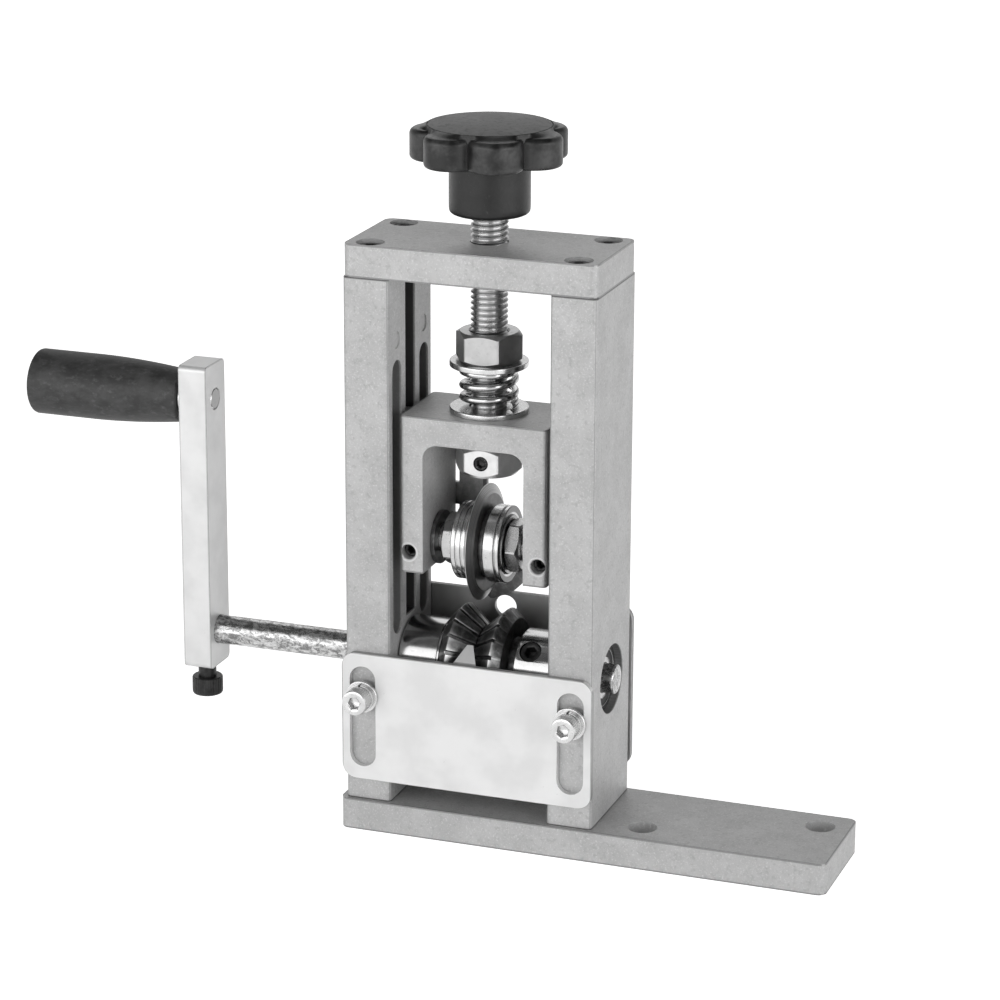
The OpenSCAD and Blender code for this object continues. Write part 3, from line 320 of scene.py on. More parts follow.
def hardenedSteel(name, tone, wear):  # dark heat-treated steel, bright where it rubs
    f = Finish(name)
    blot = f.noise(2.2, 4, 0.65, warp=0.4)
    fine = f.noise(0.35, 3, 0.7, shift=8)
    base = f.between(blot, 0.35, 0.7, tone * 0.6, tone * 1.6)
    base = f.layer(base, fine, 0.6, 0.8, 0.4, tone * 3.2)
    base = f.layer(base, f.sharpness(), 0.52, 0.6, wear, 0.62)
    f.set(Base_Color=base, Metallic=0.9, Roughness=0.26 + blot * 0.18)
    f.bump(fine, 0.012, 0.5)
    return f.material


def groundBlade():  # the blade: concentric grinding, paler on the bevel
    size = {"bevelFrom": 13.1, "rim": 15.8, "ring": 0.16}
    f = Finish("ground_blade")
    reach = f.round("X", (0, axleHeight))
    rings = f.add("ShaderNodeTexNoise", {"noise_dimensions": "1D"},
                  {"W": reach / size["ring"], "Scale": 1.0, "Detail": 3.0})
    blot = f.noise(2.5, 3, 0.6)
    bevel = reach.ramp(size["bevelFrom"] - 0.05, size["bevelFrom"] + 0.1)
    base = f.between(blot, 0.3, 0.7, 0.07, 0.13)
    base = f.mix(bevel, base, f.between(rings, 0.35, 0.65, 0.15, 0.34))
    base = f.mix(reach.ramp(size["rim"] - 0.22, size["rim"]), base, grey(0.6))
    f.set(Base_Color=base, Metallic=0.92, Roughness=0.36 - bevel * 0.1 + blot * 0.08)
    f.bump(rings, 0.012, 0.6)
    return f.material


def blackOxide():  # set screws and cap screws: oiled black
    f = Finish("black_oxide")
    blot = f.noise(1.4, 3, 0.6)
    base = f.between(blot, 0.3, 0.7, 0.014, 0.034)
    base = f.layer(base, f.sharpness(), 0.54, 0.62, 0.3, 0.2)
    f.set(Base_Color=base, Metallic=0.6, Roughness=0.3 + blot * 0.2)
    f.bump(blot, 0.01, 0.4)
    return f.material


def knobPlastic(name, rough, gloss):  # star knob: moulded black, its lobes painted paler in patches as a painted sheen
    look = {"dull": 0.006, "pale": 0.014, "worn": 0.085, "dust": 0.12, "sheenFrom": 15.5, "sheenTo": 20.5}
    f = Finish(name)
    cloud = f.noise(6, 3, 0.6)
    skinNoise = f.noise(0.55, 3, 0.6, shift=3)
    dust = f.noise(1.4, 4, 0.7, shift=12)
    base = f.between(cloud, 0.3, 0.7, look["dull"], look["pale"])
    # painted sheen: wear mixes the lobes towards the worn grey in cloudy patches
    wear = f.round("Z", (0, 0)).ramp(look["sheenFrom"], look["sheenTo"]) * cloud.ramp(0.38, 0.64)
    base = f.mix(wear * 0.6, base, grey(look["worn"]))
    base = f.layer(base, dust, 0.6, 0.78, 0.3, look["dust"])
    f.set(Base_Color=base, Metallic=0.0, Roughness=rough + cloud * 0.14 + dust.ramp(0.5, 0.7) * 0.1,
          Specular_IOR_Level=gloss)
    f.bump(cloud, 0.16, 0.5)
    f.bump(skinNoise, 0.014, 0.4)
    return f.material


def gripPlastic():  # handle grip: matt black, mottled by use
    look = {"dull": 0.026, "pale": 0.064, "scuff": 0.15}
    f = Finish("moulded_black_matt")
    cloud = f.noise(4.6, 4, 0.65, stretch=(1.6, 1, 1))
    skinNoise = f.noise(0.6, 3, 0.7, shift=3)
    scuff = f.noise(1.5, 4, 0.7, stretch=(1.5, 1, 1), shift=12)
    base = f.between(cloud, 0.32, 0.68, look["dull"], look["pale"])
    base = f.layer(base, scuff, 0.5, 0.76, 0.45, look["scuff"])
    f.set(Base_Color=base, Metallic=0.0, Roughness=0.46 + cloud * 0.16, Specular_IOR_Level=0.36)
    f.bump(cloud, 0.14, 0.5)
    f.bump(skinNoise, 0.02, 0.5)
    return f.material


def sealRubber():  # bearing seals
    f = Finish("seal_rubber")
    cloud = f.noise(1.2, 3, 0.6)
    f.set(Base_Color=f.mix(cloud, grey(0.012), grey(0.03)), Roughness=0.5 + cloud * 0.15)
    f.bump(cloud, 0.01, 0.4)
    return f.material


onShaft, onAxle, onSpindle = ("X", (0, shaftHeight)), ("X", (0, axleHeight)), ("Z", (0, 0))
coarse = {"ring": 0.16, "depth": 0.014, "marks": 0.5}  # deeper lathe rings and more marks
finishes = {
    # painted shade: the base takes a slightly darker copy of the blasted finish
    "frameBase": blastedAluminium("blasted_base", "base_plate", paintedShade=0.96),
    "frameTop": blastedAluminium("blasted_top", "top_plate"),
    "frameLeft": blastedAluminium("blasted_left_column", "left_column"),
    "frameRight": blastedAluminium("blasted_right_column", "right_column"),
    "carriage": blastedAluminium("blasted_carriage", "blade_carriage", carriageHalf),
    "sheet": polishedSteel("polished_front_sheet", "front_guide_plate", 0.7, 0.78, 0.45),
    "rearSheet": polishedSteel("ground_rear_sheet", "rear_guide_plate", 0.3, 0.38, 0.75),
    "bar": milledAluminium(),
    "zinc": mottledZinc(),
    "gear": hardenedSteel("hardened_gear_steel", 0.11, 0.75),
    "blade": groundBlade(),
    "black": blackOxide(),
    "knob": knobPlastic("moulded_black_knob", 0.3, 0.34),
    "cap": knobPlastic("moulded_black_disc", 0.36, 0.22),
    "grip": gripPlastic(),
    "seal": sealRubber(),
    "shaftTurned": turnedSteel("turned_on_crank", 0.46, 0.13, *onShaft),
    "frameEdge": machinedEdge("machined_frame_edge", 0.3, 0.34),
    "cutEdge": machinedEdge("cut_sheet_edge", 0.4, 0.3),
    "race": turnedSteel("bearing_ring_steel", 0.26, 0.2, *onAxle),
    # painted shade: the grooved wheel's end face beside the leg is painted near black
    "wheel": turnedSteel("press_wheel_steel", 0.56, 0.2, *onAxle, **coarse,
                         face=(span("right_press_wheel", "x")[1] - 0.12, 0.06)),
    "axleTurned": turnedSteel("turned_on_axle", 0.5, 0.22, *onAxle, **coarse),
    "spindleTurned": turnedSteel("turned_on_spindle", 0.58, 0.2, *onSpindle),
    "nut": turnedSteel("nut_steel", 0.42, 0.3, *onSpindle, ring=0.5, depth=0.004, marks=0.35),
    "paleNut": turnedSteel("bright_nut_steel", 0.62, 0.3, *onSpindle, ring=0.5, depth=0.004, marks=0.15),
    "thread": turnedSteel("thread_steel", 0.56, 0.24, *onSpindle, ring=0.3, depth=0.004, marks=0.4),
    "wire": turnedSteel("spring_wire", 0.48, 0.13, *onSpindle, ring=0.4, depth=0.004, marks=0.7),
    "bolt": turnedSteel("handle_bolt_steel", 0.7, 0.16, "X", (0, gripHeight),
                        face=(span("handle_bolt", "x")[1] - 0.1, 0.2)),
    "screw": turnedSteel("bright_screw_steel", 0.62, 0.22, "Y", (0, plateScrewHeight), ring=0.3, marks=0.3),
    "dark": hardenedSteel("dark_strip_steel", 0.1, 0.25),
}
print("finishes made:", len(finishes))


# Mesh helpers
def asMesh(bm, name):
    bmesh.ops.remove_doubles(bm, verts=bm.verts, dist=1e-7)
    bmesh.ops.recalc_face_normals(bm, faces=bm.faces)
    mesh = bpy.data.meshes.new(name)
    bm.to_mesh(mesh)
    bm.free()
    return mesh


def shade(mesh, angle=38):  # smooth, with sharp edges kept
    for face in mesh.polygons:
        face.use_smooth = True
    mesh.set_sharp_from_angle(angle=math.radians(angle))


def linked(name, data):
    thing = bpy.data.objects.new(name, data)
    bpy.context.scene.collection.objects.link(thing)
    return thing


def bake(thing):  # the plain mesh of an object with its modifiers
    bpy.context.view_layer.update()
    done = thing.evaluated_get(bpy.context.evaluated_depsgraph_get())
    mesh = bpy.data.meshes.new_from_object(done)
    bpy.data.objects.remove(thing)
    return mesh


def piece(name, mesh, finish, node, edge=None, keep=False):  # edge: the finish of faces in the second slot
    onEdge = [face.material_index == 1 for face in mesh.polygons]
    mesh.materials.clear()
    for look in (finish, edge) if edge else (finish,):
        mesh.materials.append(finishes[look])
    for face, worn in zip(mesh.polygons, onEdge):
        face.material_index = int(worn and edge is not None)
    draft = linked(name + "_draft", mesh)
    even = draft.modifiers.new("even shading", "WEIGHTED_NORMAL")
    even.keep_sharp = True
    thing = linked(name, bake(draft))
    thing.data.name = name
    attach(thing, bodyOf[node])
    if not keep:
        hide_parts(node)
    return thing


def skin(rings, closed=False):  # quads between rings of points; a ring of one point is a pole
    bm = bmesh.new()
    rows = [[bm.verts.new(Vector(p) * mm) for p in ring] for ring in rings]
    pairs = list(zip(rows, rows[1:])) + ([(rows[-1], rows[0])] if closed else [])
    for a, b in pairs:
        n = max(len(a), len(b))
        for i in range(n):
            j = (i + 1) % n
            corners = [a[i % len(a)], a[j % len(a)], b[j % len(b)], b[i % len(b)]]
            corners = [v for k, v in enumerate(corners) if v not in corners[:k]]
            if len(corners) > 2:
                bm.faces.new(corners)
    return bm


def circle(steps, radius, height, turn=0.0):  # a ring of points; radius and height may depend on the step
    ring = []
    for k in range(steps):
        a = 2 * math.pi * k / steps + math.radians(turn)
        r, h = (value(k) if callable(value) else value for value in (radius, height))
        ring.append((r * math.cos(a), r * math.sin(a), h))
    return ring


def rounded(profile, steps):  # corners given as (radius, height, fillet)
    points = []
    for i, corner in enumerate(profile):
        here = Vector(corner[:2])
        fillet = corner[2] if len(corner) > 2 else 0
        if not fillet:
            points.append(tuple(here))
            continue
        before, after = Vector(profile[i - 1][:2]), Vector(profile[(i + 1) % len(profile)][:2])
        u, v = before - here, after - here
        reach = min(fillet, u.length * 0.48, v.length * 0.48)
        u, v = u.normalized() * reach, v.normalized() * reach
        for k in range(steps + 1):
            t = k / steps
            points.append(tuple(here + u * (1 - t) ** 2 + v * t ** 2))
    return points


def turning(axis, centre=(0, 0, 0)):  # carries a shape turned about Z to its place, in millimetres
    angle, about = {"Z": (0, "Z"), "X": (90, "Y"), "-X": (-90, "Y"), "-Y": (90, "X")}[axis]
    return Matrix.Translation(Vector(centre) * mm) @ Matrix.Rotation(math.radians(angle), 4, about)


def lathe(name, profile, axis="Z", centre=(0, 0, 0), steps=96, closed=False, shape=None, fillets=3):
    rings = []
    for r, h in rounded(profile, fillets):
        if r < 1e-6:
            rings.append([(0, 0, h)])
        else:
            rings.append(circle(steps, (lambda k: shape(r, 2 * math.pi * k / steps)) if shape else r, h))
    mesh = asMesh(skin(rings, closed), name)
    mesh.transform(turning(axis, centre))
    shade(mesh)
    return mesh


def joined(name, *meshes):
    bm = bmesh.new()
    for mesh in meshes:
        bm.from_mesh(mesh)
    whole = bpy.data.meshes.new(name)
    bm.to_mesh(whole)
    bm.free()
    shade(whole)
    return whole


def turnedPiece(name, node, finish, profile, *where, **more):
    return piece(name, lathe(name, profile, *where, **more), finish, node)


def easedPiece(name, node, width, finish, edge=None, steps=3):  # a copy of a CAD node with its edges eased
    bm = bmesh.new()
    source = cad[node].data
    points = [bm.verts.new(v.co) for v in source.vertices]
    for face in source.polygons:
        bm.faces.new([points[i] for i in face.vertices])
    bmesh.ops.remove_doubles(bm, verts=bm.verts, dist=2e-6)
    bmesh.ops.dissolve_limit(bm, angle_limit=math.radians(0.5), verts=bm.verts, edges=bm.edges)
    mesh = bpy.data.meshes.new(node)
    bm.to_mesh(mesh)
    bm.free()
    for look in ("frameBase", "frameEdge"):  # two slots, so that the bevel's new faces can take the second
        mesh.materials.append(finishes[look])
    thing = linked(node + "_eased", mesh)
    bevel = thing.modifiers.new("eased edges", "BEVEL")
    bevel.width, bevel.segments, bevel.limit_method = width * mm, steps, "ANGLE"
    bevel.angle_limit, bevel.use_clamp_overlap, bevel.material = math.radians(30), True, 1
    mesh = bake(thing)
    shade(mesh)
    return piece(name, mesh, finish, node, edge=edge)


# Geometry Nodes helpers
class Shape(Graph):  # a Geometry Nodes tree with named inputs
    kinds = {"Float": "NodeSocketFloat", "Int": "NodeSocketInt", "Object": "NodeSocketObject",
             "Material": "NodeSocketMaterial"}

    def __init__(self, name, **inputs):
        tree = bpy.data.node_groups.new(name, "GeometryNodeTree")
        tree.is_modifier = True
        tree.interface.new_socket("Geometry", in_out="INPUT", socket_type="NodeSocketGeometry")
        for label, kind in inputs.items():
            tree.interface.new_socket(label, in_out="INPUT", socket_type=self.kinds[kind])
        tree.interface.new_socket("Geometry", in_out="OUTPUT", socket_type="NodeSocketGeometry")
        super().__init__(tree)
        self.start = self.add("NodeGroupInput")

    def input(self, label):
        return self.start.of(label)

    def end(self, geometry):  # real geometry, with its material
        whole = self.add("GeometryNodeRealizeInstances", values={0: geometry})
        painted = self.add("GeometryNodeSetMaterial", values={"Geometry": whole, "Material": self.input("Finish")})
        self.add("NodeGroupOutput", values={0: painted})

    def grow(self, name, finish, start=None, **values):
        thing = linked(name, start or bpy.data.meshes.new(name))
        step = thing.modifiers.new("shape", "NODES")
        step.node_group = self.tree
        values["Finish"] = finishes[finish]
        for item in self.tree.interface.items_tree:
            if item.in_out == "INPUT" and item.name in values:
                step[item.identifier] = values[item.name]
        return bake(thing)


def helixThread():  # a screw thread's skin: a strip one pitch wide, wound upwards
    g = Shape("wound_thread", Radius="Float", Depth="Float", Pitch="Float", Turns="Float", Steps="Int",
              Finish="Material")
    turns, pitch = g.input("Turns"), g.input("Pitch")
    across = 9
    strip = g.add("GeometryNodeMeshGrid", values={"Size X": 1.0, "Size Y": 1.0,
                                                  "Vertices X": g.input("Steps"), "Vertices Y": across})
    place = g.add("ShaderNodeSeparateXYZ", values={0: g.add("GeometryNodeInputPosition")})
    u, v = place + 0.5, place.of("Y") + 0.5
    flank = ((v - 0.5).abs() * 2.0).ramp(0.08, 0.92, 0.0, 1.0)
    reach = g.input("Radius") - g.input("Depth") * (1 - flank)
    angle = u * turns * (2 * math.pi)
    where = g.xyz(reach * angle.cos(), reach * angle.sin(), (u * turns + v) * pitch)
    wound = g.add("GeometryNodeSetPosition", values={"Geometry": strip, "Position": where})
    g.end(g.add("GeometryNodeMergeByDistance", values={"Geometry": wound, "Distance": 2e-6}))
    return g


def placedSet():  # copies of one piece at a mesh's points, spun by a random share of Spin
    g = Shape("placed_set", Piece="Object", Spin="Float", Seed="Int", Finish="Material")
    one = g.add("GeometryNodeObjectInfo", {"transform_space": "ORIGINAL"}, {"Object": g.input("Piece")}).of("Geometry")
    facing = g.add("GeometryNodeInputNamedAttribute", {"data_type": "FLOAT_VECTOR"}, {"Name": "facing"})
    chance = g.add("FunctionNodeRandomValue", {"data_type": "FLOAT"}, {"Seed": g.input("Seed")}, out=1)
    tilt = g.add("FunctionNodeEulerToRotation", values={0: facing})
    spin = g.add("FunctionNodeAxisAngleToRotation", values={"Axis": (0, 0, 1), "Angle": chance * g.input("Spin")})
    turned = g.add("FunctionNodeRotateRotation", {"rotation_space": "LOCAL"}, {0: tilt, 1: spin})
    g.end(g.add("GeometryNodeInstanceOnPoints",
                values={"Points": g.start, "Instance": one, "Rotation": turned}))
    return g


threadShape, setShape = helixThread(), placedSet()
keySpin = 1.05  # a key socket looks the same again after 60 degrees, here in radians


def setPiece(name, node, finish, mesh, places, spin=0.0, seed=1):  # places: (x, y, z) and Euler turns in degrees
    points = bpy.data.meshes.new("places")
    points.from_pydata([Vector(p) * mm for p, _ in places], [], [])
    facing = points.attributes.new("facing", "FLOAT_VECTOR", "POINT")
    for row, (_, turn) in zip(facing.data, places):
        row.vector = [math.radians(a) for a in turn]
    pattern = linked("pattern", mesh)
    whole = setShape.grow(name, finish, points, Piece=pattern, Spin=spin, Seed=seed)
    bpy.data.objects.remove(pattern)
    shade(whole)
    return piece(name, whole, finish, node)


# Screws and nuts
def hexagon(flats, k, steps):  # radius of a hexagon's outline at step k
    a = (360 * k / steps + 30) % 60 - 30
    return flats / 2 / math.cos(math.radians(a))


def socketRings(rim, top, key, depth, steps):  # a key socket sunk in a flat end, as rings from its rim inwards
    def hexed(grow, height):
        return circle(steps, lambda k: hexagon(key, k, steps) + grow, height)

    return [circle(steps, rim, top), circle(steps, key * 0.58 + 0.28, top), hexed(0.06, top - 0.22),
            hexed(0, top - 0.3), hexed(0, top - depth), circle(steps, key * 0.3, top - depth - 0.05),
            [(0, 0, top - depth - key * 0.16)]]


def capScrew(size, length):  # socket head screw, its head's underside at zero
    shank, head, tall, key = (size[part] for part in ("shank", "head", "tall", "key"))
    steps = 144  # four to each ridge round the head

    def ring(r, h, ridge=0.0):
        return circle(steps, lambda k: r - ridge * (k % 4 < 2), h)

    rings = [[(0, 0, -length)], ring(shank - 0.4, -length), ring(shank, 0.4 - length), ring(shank, 0),
             ring(head - 0.3, 0), ring(head - 0.06, 0.22, 0.02), ring(head, 0.36, 0.12),
             ring(head, tall - 0.75, 0.12), ring(head - 0.06, tall - 0.6, 0.02), ring(head - 0.05, tall - 0.4),
             ring(head - 0.18, tall - 0.12)]
    mesh = asMesh(skin(rings + socketRings(head - 0.45, tall, key, tall * 0.55, steps)), "cap_screw")
    shade(mesh, 32)
    return mesh


def grubScrew(size):  # headless screw, its socket end at zero
    radius, length, steps = size["radius"], size["length"], 96
    rings = [[(0, 0, -length)], circle(steps, radius * 0.5, -length), circle(steps, radius, -length * 0.85),
             circle(steps, radius, -0.35)]
    mesh = asMesh(skin(rings + socketRings(radius - 0.3, 0, size["key"], length * 0.5, steps)), "grub_screw")
    shade(mesh, 32)
    return mesh


def hexNut(name, size, axis, centre, turn):  # its corners are cut back at a lean
    steps, tall, bore = 192, size["tall"], size["bore"]
    flat = size["flats"] / 2 * 0.97
    corner = size["flats"] / 2 / math.cos(math.radians(30)) - 0.12
    lean = math.tan(math.radians(size["lean"]))

    def full(k):
        return min(hexagon(size["flats"], k, steps), corner)

    def drop(k):
        return max(0.0, full(k) - flat) * lean + size["chamfer"]

    outline = [(bore, 0.5), (bore + 0.5, 0), (flat, 0), (full, drop), (full, lambda k: tall - drop(k)), (flat, tall),
               (bore + 0.5, tall), (bore, tall - 0.5)]
    mesh = asMesh(skin([circle(steps, r, h, turn) for r, h in outline], closed=True), name)
    mesh.transform(turning(axis, centre))
    shade(mesh, 20)
    return mesh


# Frame
easedPiece("base_plate_body", "base_plate", 0.5, "frameBase", "frameEdge")
easedPiece("column_left", "left_column", 0.42, "frameLeft", "frameEdge")
easedPiece("column_right", "right_column", 0.42, "frameRight", "frameEdge")
easedPiece("top_plate_body", "top_plate", 0.5, "frameTop", "frameEdge")

columnScrew = {"x": 28.65, "y": 12.0, "head": 3.5, "tall": 4.0, "key": 3.0, "shank": 2.0, "length": 18.0}
oneScrew = capScrew(columnScrew, columnScrew["length"])
headSeat = span("top_plate_screws", "z")[1] - columnScrew["tall"]
baseSeat = span("base_screws", "z")[0] + columnScrew["tall"]
for name, node, seat, over, seed in (("top_screws", "top_plate_screws", headSeat, 0, 3),
                                     ("foot_screws", "base_screws", baseSeat, 180, 5)):
    corners = [((x * columnScrew["x"], y * columnScrew["y"], seat), (over, 0, 0)) for x in (-1, 1) for y in (-1, 1)]
    setPiece(name, node, "black", oneScrew, corners, keySpin, seed)
print("frame dressed")

# Guide plates
easedPiece("front_plate", "front_guide_plate", 0.22, "sheet", "cutEdge")
easedPiece("rear_plate", "rear_guide_plate", 0.22, "rearSheet", "cutEdge")
plateScrew = {"x": 29.5, "head": 3.5, "tall": 4.0, "key": 3.0, "shank": 2.0, "length": 8.9}
flatWasher = {"outer": 4.5, "thick": 1.0, "bore": 2.1}


def onPlates(y):  # four places at a distance from the middle, facing outwards
    return [((x * plateScrew["x"], side * y, plateScrewHeight), (side * 90, 0, 0)) for x in (-1, 1) for side in (1, -1)]


headY = span("guide_plate_screws", "y")[0] + plateScrew["tall"]
setPiece("plate_screws", "guide_plate_screws", "screw", capScrew(plateScrew, plateScrew["length"]), onPlates(headY),
         keySpin, 11)
washerY = span("guide_plate_flat_washers", "y")[0] + flatWasher["thick"]
flat = lathe("flat_washer", [(flatWasher["bore"], 0, 0.1), (flatWasher["outer"], 0, 0.15),
                             (flatWasher["outer"], flatWasher["thick"], 0.25),
                             (flatWasher["bore"], flatWasher["thick"], 0.12)], closed=True, steps=72)
setPiece("flat_washers", "guide_plate_flat_washers", "screw", flat, onPlates(washerY), 0.0, 2)
easedPiece("lock_washers", "guide_plate_lock_washers", 0.12, "screw", steps=2)
print("guide plates dressed")


# Ball bearings
def bearing(name, size, places, axisHeight, finish):
    outer, race, inner, bore, wide = (size[part] for part in ("outer", "race", "inner", "bore", "wide"))
    rings, seals, cores = [], [], []
    for x in places:
        centre = (x, 0, axisHeight)
        rings.append(lathe("ring", [(outer, 0, 0.35), (outer, wide, 0.35), (race, wide, 0.15), (race, 0, 0.15)],
                           "X", centre, steps=120, closed=True))
        for h in (0.22, wide - 0.62):
            seals.append(lathe("seal", [(inner + 0.2, h, 0.08), (race - 0.03, h, 0.08), (race - 0.03, h + 0.4, 0.08),
                                        (race - 0.5, h + 0.4), (race - 0.7, h + 0.3), (inner + 0.2, h + 0.4, 0.08)],
                               "X", centre, closed=True))
        cores.append(lathe("core", [(bore, 0, 0.3), (inner, 0, 0.15), (inner, wide, 0.15), (bore, wide, 0.3)], "X",
                           centre, closed=True))
    piece(name + "_rings", joined("rings", *rings), finish, name + "_outer_rings")
    piece(name + "_seals", joined("seals", *seals), "seal", name + "_outer_rings", keep=True)
    piece(name + "_cores", joined("cores", *cores), finish, name + "_inner_rings")


shaftBearing = {"outer": 9.48, "race": 7.7, "inner": 5.7, "bore": 4.02, "wide": 6.0}
rightEnd = span("shaft_bearing_outer_rings", "x")[1]
bearing("shaft_bearing", shaftBearing, (-rightEnd, rightEnd - shaftBearing["wide"]), shaftHeight, "shaftTurned")
bladeBearing = {"outer": 7.98, "race": 6.9, "inner": 5.2, "bore": 4.02, "wide": 5.0}
leftStart, rightStop = span("blade_bearing_outer_rings", "x")
bearing("blade_bearing", bladeBearing, (leftStart, rightStop - bladeBearing["wide"]), axleHeight, "race")
print("bearings dressed")

# Crank
shaftRadius = 4
shaftX = span("crank_shaft", "x")
turnedPiece("shaft", "crank_shaft", "zinc", [(0, shaftX[0]), (shaftRadius, shaftX[0], 0.3),
                                             (shaftRadius, shaftX[1], 0.6), (0, shaftX[1])], "X", (0, 0, shaftHeight))
gear = {"small": 10.4, "big": 15.8, "face": 6.0, "back": 2.6, "boss": 7.6, "bore": 4.02, "teeth": 20, "slot": 1.0,
        "depth": 1.1, "turn": 0.55}


def feedGear(name, node, side):  # toothed cone, small end towards the cutting plane
    g = gear
    low, high = span(node, "x")
    start, boss = (high if side < 0 else low), high - low
    rise = (g["big"] - g["small"]) / g["face"]
    runOut = g["depth"] / (1 + rise)
    pitch = 2 * math.pi / g["teeth"]

    def outline(x, tip, root):  # one closed ring of teeth at a distance from the small end
        points = []
        slotHalf, ease = g["slot"] / 2 / tip, 0.14 / tip
        flank = pitch / 2 - slotHalf - ease
        local = [(-slotHalf * 0.85, root), (0, root), (slotHalf * 0.85, root), (slotHalf, tip - 0.16),
                 (slotHalf + ease, tip)]
        local += [(slotHalf + ease + flank * s, tip) for s in (0.5, 1.0, 1.5)]
        local += [(pitch - slotHalf - ease, tip), (pitch - slotHalf, tip - 0.16)]
        for i in range(g["teeth"]):
            mid = (i + g["turn"]) * pitch  # middle of the slot before this tooth
            points += [(r * math.cos(mid + a), r * math.sin(mid + a), x) for a, r in local]
        return points

    angles = [math.atan2(y, x) for x, y, _ in outline(0, g["big"], g["big"] - 1)]

    def plain(r, x):  # a smooth ring with its points in line with the teeth
        return [(r * math.cos(a), r * math.sin(a), x) for a in angles]

    rings = [plain(g["bore"], 0.2), plain(g["bore"] + 0.3, 0), plain(g["small"] - g["depth"] - 0.5, 0)]
    for x in (0, 0.14, g["face"] * 0.25, g["face"] * 0.5, g["face"] * 0.75, g["face"] - 0.14, g["face"]):
        trim = 0.13 if x in (0, g["face"]) else 0
        cone = g["small"] + rise * x
        rings.append(outline(x, cone - trim, cone - g["depth"]))
    back = g["face"] + g["back"]
    rings += [plain(g["big"] - runOut, g["face"] + runOut), plain(g["big"] - g["back"] + 0.15, back - 0.15),
              plain(g["big"] - g["back"] - 0.15, back), plain(g["boss"] + 0.5, back), plain(g["boss"], back + 0.4),
              plain(g["boss"], boss - 0.3), plain(g["boss"] - 0.3, boss), plain(g["bore"] + 0.3, boss),
              plain(g["bore"], boss - 0.3)]
    mesh = asMesh(skin(rings, closed=True), name)
    mesh.transform(turning("X"))
    if side < 0:  # a mirror image of the right one
        mesh.transform(Matrix.Diagonal((-1, 1, 1, 1)))
        mesh.flip_normals()
    mesh.transform(Matrix.Translation(Vector((start, 0, shaftHeight)) * mm))
    shade(mesh, 25)
    piece(name, mesh, "gear", node)


feedGear("feed_gear_left", "left_feed_gear", -1)
feedGear("feed_gear_right", "right_feed_gear", 1)
easedPiece("collar_left", "left_shaft_collar", 0.18, "shaftTurned")
easedPiece("collar_right", "right_shaft_collar", 0.18, "shaftTurned")
collarScrew = {"radius": 2.95, "key": 3.0, "length": 6.0, "x": 14.7, "reach": 10.5, "angle": 45}
out = math.radians(collarScrew["angle"])
spots = []
for side, over in ((1, 0), (-1, 180)):
    y, z = -side * math.sin(out) * collarScrew["reach"], side * math.cos(out) * collarScrew["reach"]
    spots.append(((side * collarScrew["x"], y, shaftHeight + z), (collarScrew["angle"] + over, 0, 0)))
setPiece("collar_grubs", "collar_set_screws", "black", grubScrew(collarScrew), spots, keySpin, 7)
easedPiece("arm_bar", "crank_arm", 0.4, "bar", "cutEdge")
clampScrew = {"shank": 2.5, "head": 4.25, "tall": 5.0, "key": 4.0}
low, high = span("crank_clamp_screw", "z")
setPiece("clamp_screw", "crank_clamp_screw", "black", capScrew(clampScrew, high - low - clampScrew["tall"]),
         [((middle("crank_clamp_screw", "x"), 0, low + clampScrew["tall"]), (180, 0, 0))])
bolt = {"shank": 3.0, "head": 4.6, "tall": 3.6, "key": 4.0}
boltX = span("handle_bolt", "x")
handleBolt = capScrew(bolt, boltX[1] - boltX[0] - bolt["tall"])
handleBolt.transform(turning("-X", (boltX[0] + bolt["tall"], 0, gripHeight)))
piece("grip_bolt", handleBolt, "bolt", "handle_bolt")
easedPiece("grip_washer", "handle_washer", 0.15, "bolt", steps=2)
easedPiece("spacer_rings", "shaft_spacers", 0.2, "shaftTurned", steps=2)
print("crank dressed")

# Grip
grip = {"near": 7.3, "full": 9.0, "end": 2.0, "rim": 0.8, "bore": 3.05, "headBore": 4.9, "headDeep": 5.9,
        "swellOver": 0.62, "swellPower": 1.9, "rings": 24}
gripX = span("handle_grip", "x")
gripLong = gripX[1] - gripX[0]
profile = [(grip["bore"], 0, 0.2), (grip["near"] - 0.05, 0, grip["rim"])]
for k in range(1, grip["rings"] + 1):
    t = k / grip["rings"]
    rise = min(1.0, t / grip["swellOver"])
    swell = (1 - (1 - rise) ** grip["swellPower"]) * (grip["full"] - grip["near"])
    profile.append((grip["near"] + swell, grip["rim"] + t * (gripLong - grip["end"] - grip["rim"])))
profile += [(grip["full"], gripLong, grip["end"]), (grip["headBore"], gripLong, 0.3),
            (grip["headBore"], gripLong - grip["headDeep"]), (grip["bore"], gripLong - grip["headDeep"])]
turnedPiece("grip_body", "handle_grip", "grip", profile, "-X", (gripX[1], 0, gripHeight), steps=128, closed=True,
            fillets=6)

# Spindle, nuts and washers
thread = {"radius": 5.0, "pitch": 1.5, "depth": 0.78, "perTurn": 48, "chamfer": 0.7}
bottom, top = span("spindle", "z")
turns = (top - bottom) / thread["pitch"] + 2
wound = threadShape.grow("wound", "thread", None, Radius=thread["radius"] * mm, Depth=thread["depth"] * mm,
                         Pitch=thread["pitch"] * mm, Turns=turns, Steps=int(turns * thread["perTurn"]) + 1)
bm = bmesh.new()
bm.from_mesh(wound)
bmesh.ops.translate(bm, verts=bm.verts, vec=(0, 0, (bottom - 1.5 * thread["pitch"]) * mm))
for height, way in ((bottom, -1), (top, 1)):  # cut both ends square, then close them
    bmesh.ops.bisect_plane(bm, geom=bm.verts[:] + bm.edges[:] + bm.faces[:], plane_co=(0, 0, height * mm),
                           plane_no=(0, 0, way), clear_outer=True)
bmesh.ops.holes_fill(bm, edges=[e for e in bm.edges if e.is_boundary], sides=0)
